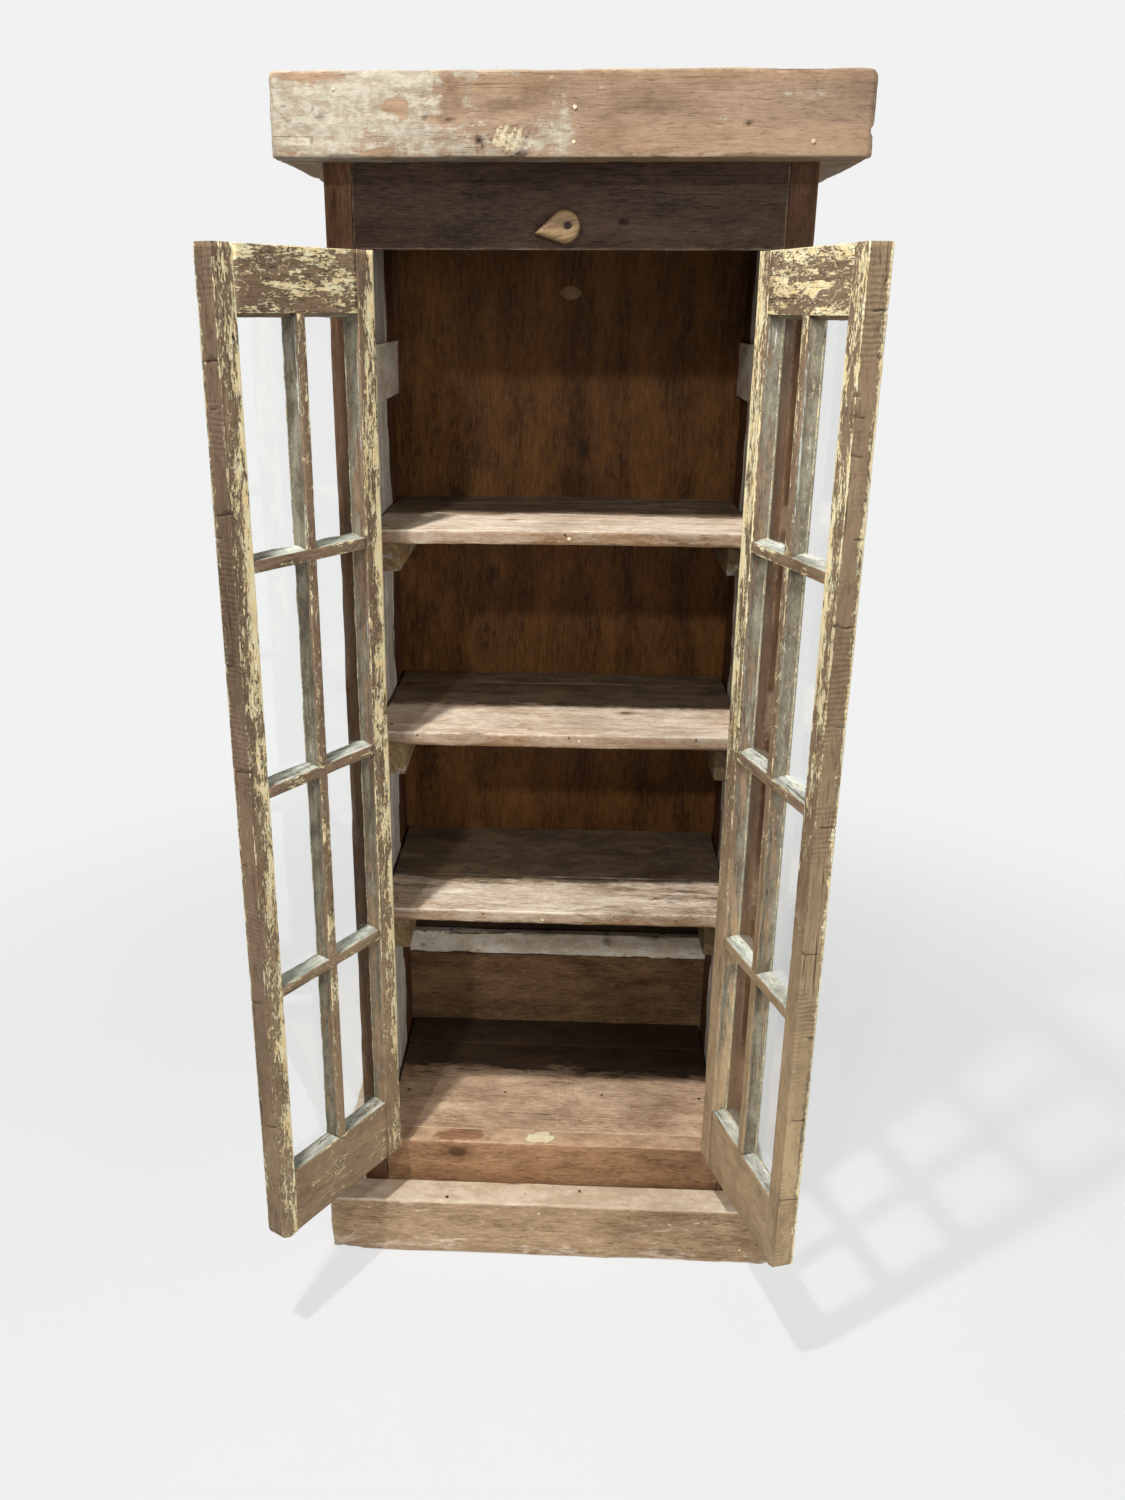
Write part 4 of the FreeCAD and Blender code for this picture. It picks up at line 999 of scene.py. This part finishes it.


# Where paint is left on a member. The moulding keeps the old undercoats, with a pale bead beside the face,
# partly pale paint and partly a painted highlight, and a dark quirk behind it that is painted shade. Above a
# crest the upward side of the moulding is painted paler as painted light. The face and arrises keep the cream,
# and less of it
# low down: "bare" gives the least share and the heights it changes between. A negative "lean" moves the cream
# over towards the hinge side.
def sashCover(level, stick, low, high, times, upright, edge=0.10, crest=None, middle=None):
    outer, inner, ledge, slope = (sash[key] for key in ("outer", "inner", "ledge", "slope"))

    def cover(run, section, arris):
        place = np.column_stack([run, section])
        side, deep = section.T
        height, across = (run, side) if upright else (side, run)
        least, start, end = times["bare"]
        kept = least + (1 - least) * between(height + 0.08 * uneven(place, (9, 60, 60), 31), start, end)
        onFace = between(deep, inner - 0.0035, inner - 0.001)
        inside = between(deep, ledge - 0.002, ledge + 0.001)
        onMoulding = (1 - onFace) * inside * ((side > low) & (side < high))
        outside = 1 - inside
        patches = 0.12 * uneven(place, (6, 50, 30), 7) + 0.22 * uneven(place, (26, 130, 60), 17)
        if middle is not None:
            patches += times["lean"] * np.clip((across - middle) / 0.0175, -1, 1)
        cream = (onFace * (level + patches) + arris * times["arris"]) * kept + edge * (1 - onFace)
        cream += outside * np.where(arris < 0.1, 0.34 + 0.8 * patches, 0.28)
        rim = times["rim"] * (1 + 0.9 * uneven(place, (26, 90, 90), 23))
        rim *= (deep > outer + 0.0006) | (arris > 0.1)
        cream += rim * np.exp(-((deep - outer) / 0.003) ** 2)
        bead = onMoulding * between(deep, slope, slope + 0.002)
        quirk = onMoulding * np.exp(-((deep - slope + 0.0006) / 0.0013) ** 2)
        tanned = times["tan"] * (1 - between(height, 0.45, 1.05))
        under = onMoulding * (stick + 0.2 * uneven(place, (5, 40, 40), 27)) + outside * 0.35
        paleAndLit = onMoulding * (0.132 + 0.22 * uneven(place, (4, 160, 160), 9)) + 0.30 * bead
        # Above the crest the upward side of the moulding is painted paler: painted light from above.
        if crest is not None:
            top = side > crest
            hollow = (onMoulding - bead) * top
            paleAndLit += 0.75 * bead * top + 0.54 * hollow
            tanned *= 1 - 0.65 * hollow
        edges = (side <= low) | (side >= high)
        aged = (times["aged"] + 0.22 * uneven(place, (7, 20, 40), 41)) * edges
        tanned += times["sideTan"] * edges
        shares = {"cover": cream, "under": under, "pale": paleAndLit, "warm": tanned,
                  "dark": 0.22 * quirk + aged, "sawn": times["sawn"] * edges}
        return {key: np.clip(share, 0, 1) for key, share in shares.items()}
    return cover


# Notches have their height, depth and the reach they run over. Dents have their height, middle and size.
doorTimes = {
    "left": dict(
        notches=[(1.511, 0.0022, 0.008, 0.035), (1.455, 0.0010, 0.010, 0.026), (1.325, 0.0026, 0.014, 0.040),
                 (1.296, 0.0012, 0.004, 0.018), (1.13, 0.0015, 0.004, 0.02), (0.98, 0.0022, 0.010, 0.040),
                 (0.84, 0.0012, 0.004, 0.02), (0.62, 0.0020, 0.004, 0.026), (0.41, 0.0018, 0.012, 0.040)],
        dents=[(1.596, 0.018, 0.0045), (1.540, 0.020, 0.003), (1.485, 0.024, 0.0025), (1.18, 0.013, 0.004),
               (0.72, 0.02, 0.003)],
        hinge=0.48, meeting=0.46, top=0.42, bottom=0.36, bare=(0.80, 0.25, 0.7),
        lean=-0.19, rim=0.22, arris=0.20, tan=0.30, aged=0.26, sideTan=0.0, sawn=0.4),
    "right": dict(
        notches=[(1.572, 0.0030, 0.004, 0.024), (1.523, 0.0022, 0.004, 0.014), (1.475, 0.0026, 0.030, 0.040),
                 (1.452, 0.0018, 0.022, 0.037), (1.408, 0.0016, 0.020, 0.036), (1.31, 0.0022, 0.004, 0.02),
                 (1.20, 0.0028, 0.010, 0.040), (1.07, 0.0016, 0.004, 0.02), (0.93, 0.0022, 0.004, 0.03),
                 (0.74, 0.0026, 0.012, 0.040), (0.61, 0.0016, 0.004, 0.02), (0.47, 0.0020, 0.004, 0.03),
                 (0.33, 0.0022, 0.01, 0.04)],
        dents=[(1.60, 0.012, 0.005), (1.55, 0.016, 0.006), (1.02, 0.015, 0.004), (0.52, 0.02, 0.004)],
        hinge=0.50, meeting=0.44, top=0.47, bottom=0.27, bare=(0.30, 0.55, 1.15),
        lean=-0.10, rim=0.5, arris=0.32, tan=0.62, aged=0.08, sideTan=0.3, sawn=0.85),
}


def buildDoor(side, seed):
    door, times = side + "_door_", doorTimes[side]
    foot, top = (corner[2] for corner in nodeBox(door + "hinge_stile"))
    hinge, stile, small, margin = (sash[key] for key in ("hingeEdge", "stile", "setBack", "margin"))
    meeting = hinge + sash["width"]
    member(door + "hinge_stile", side, True, memberCorners(hinge, 1, stile), foot, top, seed,
           sashCover(times["hinge"], 0.5, hinge + margin, meeting, times, True, middle=hinge + stile / 2))
    member(door + "meeting_stile", side, True, memberCorners(meeting, -1, stile), foot, top, seed + 10,
           sashCover(times["meeting"], 0.5, hinge, meeting - margin, times, True, middle=meeting - stile / 2),
           times["notches"], times["dents"], meeting)
    inset = stile - sash["lap"]
    start, end = hinge + inset, meeting - inset
    topCorners = memberCorners(top, -1, sash["topRail"], small)
    member(door + "top_rail", side, False, topCorners, start, end, seed + 20,
           sashCover(times["top"], 0.4, foot, top - margin, times, False))
    lowCorners = memberCorners(foot, 1, sash["bottomRail"], small)
    member(door + "bottom_rail", side, False, lowCorners, start, end, seed + 30,
           sashCover(times["bottom"], 0.4, foot + margin, top, times, False, crest=foot))
    middle = hinge + sash["width"] / 2
    member(door + "upright_bar", side, True, barCorners(middle, 2 * small), foot + sash["bottomRail"] - small,
           top - sash["topRail"] + small, seed + 40, sashCover(0.28, 0.65, hinge, meeting, times, True, 0.15))
    for number, spot in enumerate(("bottom", "middle", "top")):
        bar = f"{door}{spot}_cross_bar"
        low, high = nodeBox(bar)
        level = (low[2] + high[2]) / 2
        member(bar, side, False, barCorners(level, small), start, end, seed + 50 + number,
               sashCover(0.30, 0.7, foot, top, times, False, 0.15, crest=level))


buildDoor("left", 101)
buildDoor("right", 201)
print("doors done")

# Putty bevels on the outer side of each pane, uneven as a knife leaves them.
putty = dict(glass=0.0122, outer=0.0062, reach=0.0066, step=0.012)


def puttyBeads(side, seed):
    pane, pin = nodes[side + "_door_panes"], pins[side + "_door"]
    turn = doorWay(side) * math.radians(sash[side + "Turn"])
    spots = np.array([tuple(pane.matrix_world @ vertex.co) for vertex in pane.data.vertices])
    x, y = spots[:, 0] - pin[0], spots[:, 1] - pin[1]
    across = doorWay(side) * (x * math.cos(turn) - y * math.sin(turn))
    columns, heights = (sorted(set(np.round(line, 4))) for line in (across, spots[:, 2]))
    glass, outer = putty["glass"], putty["outer"]
    section = ((0.0, outer), (0.0, glass), (1.0, glass), (0.93, glass - 0.0008),
               (0.45, (outer + glass) / 2 - 0.0004))
    points, quads = [], []
    for left, right in zip(columns[::2], columns[1::2]):
        for low, high in zip(heights[::2], heights[1::2]):
            corners = np.array([(left, low), (right, low), (right, high), (left, high)])
            path = []
            for first, last in zip(corners, np.roll(corners, -1, axis=0)):
                steps = max(2, round(np.linalg.norm(last - first) / putty["step"]))
                path += [first + (last - first) * step / steps for step in range(steps)]
            path = np.array(path)
            rounded = np.round(path, 4)
            onEdge = np.column_stack([np.isin(rounded[:, 0], columns), np.isin(rounded[:, 1], heights)])
            inward = np.sign(corners.mean(axis=0) - path) * onEdge
            rough = 1 + 0.18 * uneven(np.column_stack([path, np.zeros(len(path))]), 60, seed)
            quads += ringQuads(5, len(path), len(points), closed=True)
            for share, deep in section:
                moved = path + inward * (putty["reach"] * share * rough)[:, None]
                points += onDoor(side, moved[:, 0], np.full(len(path), deep), moved[:, 1]).tolist()
    points = np.array(points)
    plain = np.zeros(len(points))
    values = {"timber": points + seed, "knot": plain + 3.0, "worn": plain, "dark": plain,
              "cover": plain + 0.5, "under": plain + 0.4, "pale": plain + 0.6, "sawn": plain}
    bead = tidyNormals(makeMesh(side + "_door_putty", points, quads, values, materials["sash_paint"]))
    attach(bead, side + "_door")


puttyBeads("left", 301)
puttyBeads("right", 311)
print("putty done")

# Turn button, carved from one piece: a drop with its point to the left and a deep screw hole.
button = dict(radius=0.0207, reach=0.0455, offset=0.0044, tilt=11.8, recess=0.0045, count=96)


# How far the edge of the drop is from the screw: a circle, and the two straight sides that run to the point.
def buttonEdge(turn):
    radius, middle, point = button["radius"], -button["offset"], -button["reach"]
    ray = (math.cos(turn), math.sin(turn))
    along = middle * ray[0]
    best = along + math.sqrt(max(along * along - middle * middle + radius * radius, 0))
    lean = math.acos(radius / abs(point - middle))
    touch = (middle - radius * math.cos(lean), radius * math.sin(lean))
    if best * ray[0] < touch[0]:
        normal = (-math.cos(lean), math.sin(lean) * (1 if ray[1] >= 0 else -1))
        gap = touch[0] * normal[0] + abs(touch[1]) * abs(normal[1])
        best = gap / (ray[0] * normal[0] + ray[1] * normal[1])
    return min(best, -point)


# Rings of the button from its back to its front and down the hole: share of the way out and of the thickness.
buttonRings = ((0.999, 0.0), (1.0, 0.05), (1.0, 0.45), (0.99, 0.70), (0.95, 0.86), (0.86, 0.95), (0.72, 1.0),
               (0.45, 0.98), (0.2, 0.94), (0.0, 0.92), (None, 0.6))


def turnButton():
    screw, (low, high) = pins["turn_button"], nodeBox("turn_button")
    count, hole, thickness = button["count"], button["recess"], high[1] - low[1]
    points, worn, dark = [], [], []
    for share, height in buttonRings:
        for step in range(count):
            turn = 2 * math.pi * step / count
            reach = hole * 0.96 if share is None else hole + (buttonEdge(turn) - hole) * share
            points.append((math.cos(turn) * reach, high[1] - height * thickness, math.sin(turn) * reach))
            worn.append(0.6 * (0.8 < height < 0.97))
            # Down the screw hole and at its rim the wood is darkened: painted shade in the hole.
            dark.append({None: 0.75, 0.0: 0.5}.get(share, 0.0))
    rest = np.array(points)
    points = rest.copy()
    tilt = math.radians(button["tilt"])
    points[:, 0] = rest[:, 0] * math.cos(tilt) - rest[:, 2] * math.sin(tilt) + screw[0]
    points[:, 2] = rest[:, 0] * math.sin(tilt) + rest[:, 2] * math.cos(tilt) + screw[2]
    points[:, 1] += 0.0003 * uneven(rest, 160, 5)
    rings = len(buttonRings)
    quads = ringQuads(rings, count) + [tuple(range(count)), tuple(range((rings - 1) * count, rings * count))]
    values = {"timber": rest[:, [0, 2, 1]] + 4.1, "knot": np.full(len(points), 3.0), "worn": np.array(worn),
              "dark": np.array(dark)}
    piece = makeMesh("turn_button_carved", points, quads, values, materials["button_wood"])
    dress(tidyNormals(piece), "turn_button")


turnButton()


# Metal and glass.
def metalMaterial(name, base, rust, rough, bump):
    material, tree = newMaterial(name)
    place = objectPlace(tree)
    spread = cloud(place, 90.0, 6.0, 0.7)
    addSurface(tree, {
        "Base Color": mixColour(ramp(spread, 0.42, 0.60), base, rust),
        "Metallic": ramp(spread, 0.42, 0.60, 0.9, 0.15), "Roughness": ramp(spread, 0.35, 0.65, rough, 0.9),
        "Normal": bumped(cloud(place, 900.0, 4.0, 0.7), bump, 0.0006)})
    return material


def glassMaterial():
    material, tree = newMaterial("window_glass_old")
    place = objectPlace(tree)
    shadowRay = Value(addNode(tree, "ShaderNodeLightPath"), "Is Shadow Ray")
    addSurface(tree, {
        "Base Color": (0.985, 0.995, 0.99, 1), "Transmission Weight": 1.0, "IOR": 1.45,
        "Alpha": 1 - shadowRay * 0.9, "Roughness": ramp(cloud(place, 30.0, 6.0, 0.7), 0.45, 0.8, 0.02, 0.10),
        "Normal": bumped(cloud(scaled(place, (1.0, 1.0, 0.5)), 22.0, 2.0, 0.5), 0.06, 0.002)})
    return material


iron = metalMaterial("hinge_iron_old", shade(72, 64, 58), shade(92, 56, 36), 0.45, 0.5)
# The screw steel is dark, partly as painted shade for the screw hole.
steel = metalMaterial("screw_steel_old", shade(50, 42, 36), shade(44, 30, 22), 0.4, 0.4)
finishes = {"hinge_iron": iron, "screw_steel": steel, "glass": glassMaterial()}
for node, thing in nodes.items():
    if slotOf[node] in finishes:
        thing.data.materials.clear()
        thing.data.materials.append(finishes[slotOf[node]])
print("metal and glass done")


nailInputs = (("Geometry", "Geometry", None), ("Radius", "Float", 0.003), ("Flatness", "Float", 0.3),
              ("Seed", "Int", 4), ("Finish", "Material", None))


# Nail heads: one geometry nodes tree sets a flat dome on every point, a little larger or smaller each time.
def nailTree():
    tree = bpy.data.node_groups.new("nailHeads", "GeometryNodeTree")
    sockets = {}
    for label, kind, default in nailInputs:
        socket = tree.interface.new_socket(name=label, in_out="INPUT", socket_type="NodeSocket" + kind)
        if default:
            socket.default_value = default
        sockets[label] = socket
    tree.interface.new_socket(name="Geometry", in_out="OUTPUT", socket_type="NodeSocketGeometry")
    given = addNode(tree, "NodeGroupInput").outputs
    dome = addNode(tree, "GeometryNodeMeshUVSphere", {"Segments": 10, "Rings": 6, "Radius": given["Radius"]})
    flat = addNode(tree, "ShaderNodeCombineXYZ", {"X": 1.0, "Y": 1.0, "Z": given["Flatness"]})
    head = addNode(tree, "GeometryNodeTransform", {
        "Geometry": dome.outputs["Mesh"], "Scale": flat.outputs[0]})
    aim = addNode(tree, "GeometryNodeInputNamedAttribute", {"Name": "aim"}, data_type="FLOAT_VECTOR")
    size = addNode(tree, "FunctionNodeRandomValue", {
        2: 0.8, 3: 1.2, "Seed": given["Seed"]}, data_type="FLOAT")
    placed = addNode(tree, "GeometryNodeInstanceOnPoints", {
        "Points": given["Geometry"], "Instance": head.outputs["Geometry"],
        "Rotation": aim.outputs["Attribute"], "Scale": size.outputs[1]})
    real = addNode(tree, "GeometryNodeRealizeInstances", {"Geometry": placed.outputs["Instances"]})
    finished = addNode(tree, "GeometryNodeSetMaterial", {
        "Geometry": real.outputs["Geometry"], "Material": given["Finish"]})
    addNode(tree, "NodeGroupOutput", {"Geometry": finished.outputs["Geometry"]})
    return tree, sockets


nailHeads, nailSockets = nailTree()
facing = dict(front=(math.pi / 2, 0, 0), up=(0, 0, 0), back=(-math.pi / 2, 0, 0), left=(0, -math.pi / 2, 0),
              right=(0, math.pi / 2, 0))


def nails(name, spots, finish, radius, flatness):
    mesh = bpy.data.meshes.new(name + "_places")
    mesh.from_pydata([spot for spot, way in spots], [], [])
    layer = mesh.attributes.new("aim", "FLOAT_VECTOR", "POINT")
    for item, (spot, way) in zip(layer.data, spots):
        item.vector = facing[way]
    places = addObject(name + "_places", mesh)
    modifier = places.modifiers.new("heads", "NODES")
    modifier.node_group = nailHeads
    for label, value in (("Radius", radius), ("Flatness", flatness), ("Finish", finish)):
        modifier[nailSockets[label].identifier] = value
    graph = bpy.context.evaluated_depsgraph_get()
    shown = places.evaluated_get(graph)
    heads = bpy.data.meshes.new_from_object(shown, preserve_all_data_layers=True, depsgraph=graph)
    bpy.data.objects.remove(places)
    heads.polygons.foreach_set("use_smooth", [True] * len(heads.polygons))
    piece = addObject(name, heads)
    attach(piece, "carcass")


filler = metalMaterial("nail_filler", shade(232, 220, 190), shade(196, 176, 140), 0.8, 0.2)
# Faces that hold nails, each by its place on the axis that it looks along.
corniceFront, plinthFront, shelfFront = -0.2397, -0.2337, -0.1302
corniceSide, plinthSide, plinthTop, floorTop = 0.3842, 0.3872, 0.1112, 0.1946
plywoodBack, lowerBack, stripBack = 0.2337, 0.2367, 0.2497
paleSpots = [(0.007, corniceFront, 1.8115), (0.006, corniceFront, 1.7716), (0.207, plinthFront, 0.078),
             (-0.317, plinthFront, 0.0926), (0.308, corniceFront, 1.772), (-0.300, corniceFront, 1.8325),
             (0.330, plinthFront, 0.030), (-0.020, plinthFront, 0.0915)]
topSpots = [(-0.176, -0.208), (-0.085, -0.205), (-0.045, -0.207), (0.24, -0.2)]
nails("filled_nail_holes", [(spot, "front") for spot in paleSpots], filler, 0.0026, 0.3)
nails("filled_holes_on_plinth", [((x, y, 0.1113), "up") for x, y in topSpots], filler, 0.0024, 0.3)
ironSpots = [((-0.181, -0.222, plinthTop), "up"), ((0.05, -0.195, plinthTop), "up")]
for side, way in ((-1, "left"), (1, "right")):
    for x, heights in ((corniceSide, (1.778, 1.832)), (plinthSide, (0.028, 0.084))):
        ironSpots += [((side * x, y, z), way) for y in (-0.14, 0.04, 0.20) for z in heights]
    for top in (1.258, 0.9375, 0.624):
        ironSpots += [((side * 0.272, y, top + 0.0001), "up") for y in (-0.095, 0.03, 0.17)]
    ironSpots += [((side * 0.311, plywoodBack, 0.47 + 0.165 * step), "back") for step in range(9)]
    ironSpots += [((side * 0.311, lowerBack, z), "back") for z in (0.06, 0.17, 0.29)]
    ironSpots += [((side * x, stripBack, 0.408), "back") for x in (0.29, 0.10)]
ironSpots += [((x, -0.030, floorTop), "up") for x in (-0.27, -0.09, 0.09, 0.27)]
ironSpots += [((x, plywoodBack, z), "back") for x in (-0.15, 0.0, 0.15) for z in (1.82, 0.50)]
nails("iron_nail_heads", ironSpots, iron, 0.0030, 0.22)
shelfSpots = [(0.0034, 1.2530), (0.0156, 0.9316), (0.2157, 0.9316), (-0.226, 0.9316), (-0.122, 0.6165),
              (0.0966, 0.618), (0.200, 0.611)]
edgeSpots = [(0.0095, 1.247), (0.0315, 0.926), (-0.023, 0.608)]
nails("dark_nail_holes", [((x, shelfFront, z), "front") for x, z in shelfSpots], iron, 0.0019, 0.4)
nails("pale_edge_spots", [((x, -0.1301, z), "front") for x, z in edgeSpots], filler, 0.0026, 0.25)
print("nails done,", len(ironSpots) + len(paleSpots))

# Light, floor and camera.
studio = dict(above=64.0, abovePlace=(-0.65, -1.15, 3.35), aboveSize=0.12,
              front=80.0, frontPlace=(-1.3, -5.0, 3.9), frontSize=0.28,
              side=36.0, sidePlace=(2.3, -3.0, 1.7), sideSize=1.2, target=(0, 0, 0.9),
              world=0.16, floor=0.90, reach=30.0, background=0.885, near=0.8, far=2.4, lifted=0.72)
for name in ("above", "front", "side"):
    light = bpy.data.lights.new(name, "AREA")
    light.energy, light.shape, light.size = studio[name], "DISK", studio[name + "Size"]
    lamp = addObject(name, light)
    lamp.location = studio[name + "Place"]
    lamp.rotation_euler = (Vector(studio["target"]) - lamp.location).to_track_quat("-Z", "Y").to_euler()


# One where the camera looks straight, through glass or by a reflection, so that all show the same backdrop.
def backdropRay(tree):
    path = addNode(tree, "ShaderNodeLightPath")
    camera, through, glossy = (Value(path, f"Is {kind} Ray") for kind in ("Camera", "Transmission", "Glossy"))
    return camera.calc("MAXIMUM", through).calc("MAXIMUM", glossy)


def makeWorld():
    world = bpy.data.worlds.new("studio")
    bpy.context.scene.world = world
    world.use_nodes = True
    tree = world.node_tree
    tree.nodes.clear()
    level = backdropRay(tree) * (studio["background"] - studio["world"]) + studio["world"]
    background = addNode(tree, "ShaderNodeBackground", {"Color": (1, 1, 1, 1), "Strength": level})
    addNode(tree, "ShaderNodeOutputWorld", {"Surface": background.outputs[0]})


def makeFloor():
    far = studio["reach"]
    mesh = bpy.data.meshes.new("studio_floor")
    mesh.from_pydata([(-far, -far, 0), (far, -far, 0), (far, far, 0), (-far, far, 0)], [], [(0, 1, 2, 3)])
    material, tree = newMaterial("studio_floor")
    place = objectPlace(tree)
    mottle = ramp(cloud(place, 2.5, 4.0, 0.5), 0.3, 0.7, studio["floor"] - 0.01, studio["floor"] + 0.01)
    surface = addNode(tree, "ShaderNodeBsdfPrincipled", {
        "Base Color": mottle, "Roughness": 0.9, "Specular IOR Level": 0.1})
    glow = addNode(tree, "ShaderNodeEmission", {"Color": (1, 1, 1, 1), "Strength": studio["background"]})
    distance = Value(addNode(tree, "ShaderNodeVectorMath", {0: place}, operation="LENGTH"), "Value")
    away = ramp(distance, studio["near"], studio["far"], studio["lifted"], 1.0) * backdropRay(tree)
    mixed = addNode(tree, "ShaderNodeMixShader", {0: away, 1: surface.outputs[0], 2: glow.outputs[0]})
    addNode(tree, "ShaderNodeOutputMaterial", {"Surface": mixed.outputs[0]})
    mesh.materials.append(material)
    addObject("studio_floor", mesh)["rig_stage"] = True


makeWorld()
makeFloor()

# The camera stands where the photograph was taken from.
lens = dict(focal=1232.4, centreX=512.3, width=1125, height=1500, sensor=36.0,
            place=(0.0141, -1.9775, 1.5723), yaw=2.74, pitch=19.72, roll=-0.23)


def makeCamera():
    data = bpy.data.cameras.new("photo_camera")
    data.sensor_fit = "AUTO"
    data.sensor_width = lens["sensor"]
    data.lens = lens["focal"] / lens["height"] * lens["sensor"]
    data.shift_x = (lens["width"] / 2 - lens["centreX"]) / lens["height"]
    turn = Matrix.Identity(3)
    for angle, axis in ((lens["yaw"], "Z"), (-lens["pitch"], "X"), (lens["roll"], "Y")):
        turn = turn @ Matrix.Rotation(math.radians(angle), 3, axis)
    right, forward, up = turn.col[0], turn.col[1], turn.col[2]
    camera = addObject("photo_camera", data)
    aim = Matrix((right, up, -forward)).transposed().to_4x4()
    camera.matrix_world = Matrix.Translation(lens["place"]) @ aim
    bpy.context.scene.camera = camera


makeCamera()
bpy.context.scene.view_settings.view_transform = "Standard"

low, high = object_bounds()
print("shown box", [round(value, 4) for value in (*low, *high)])
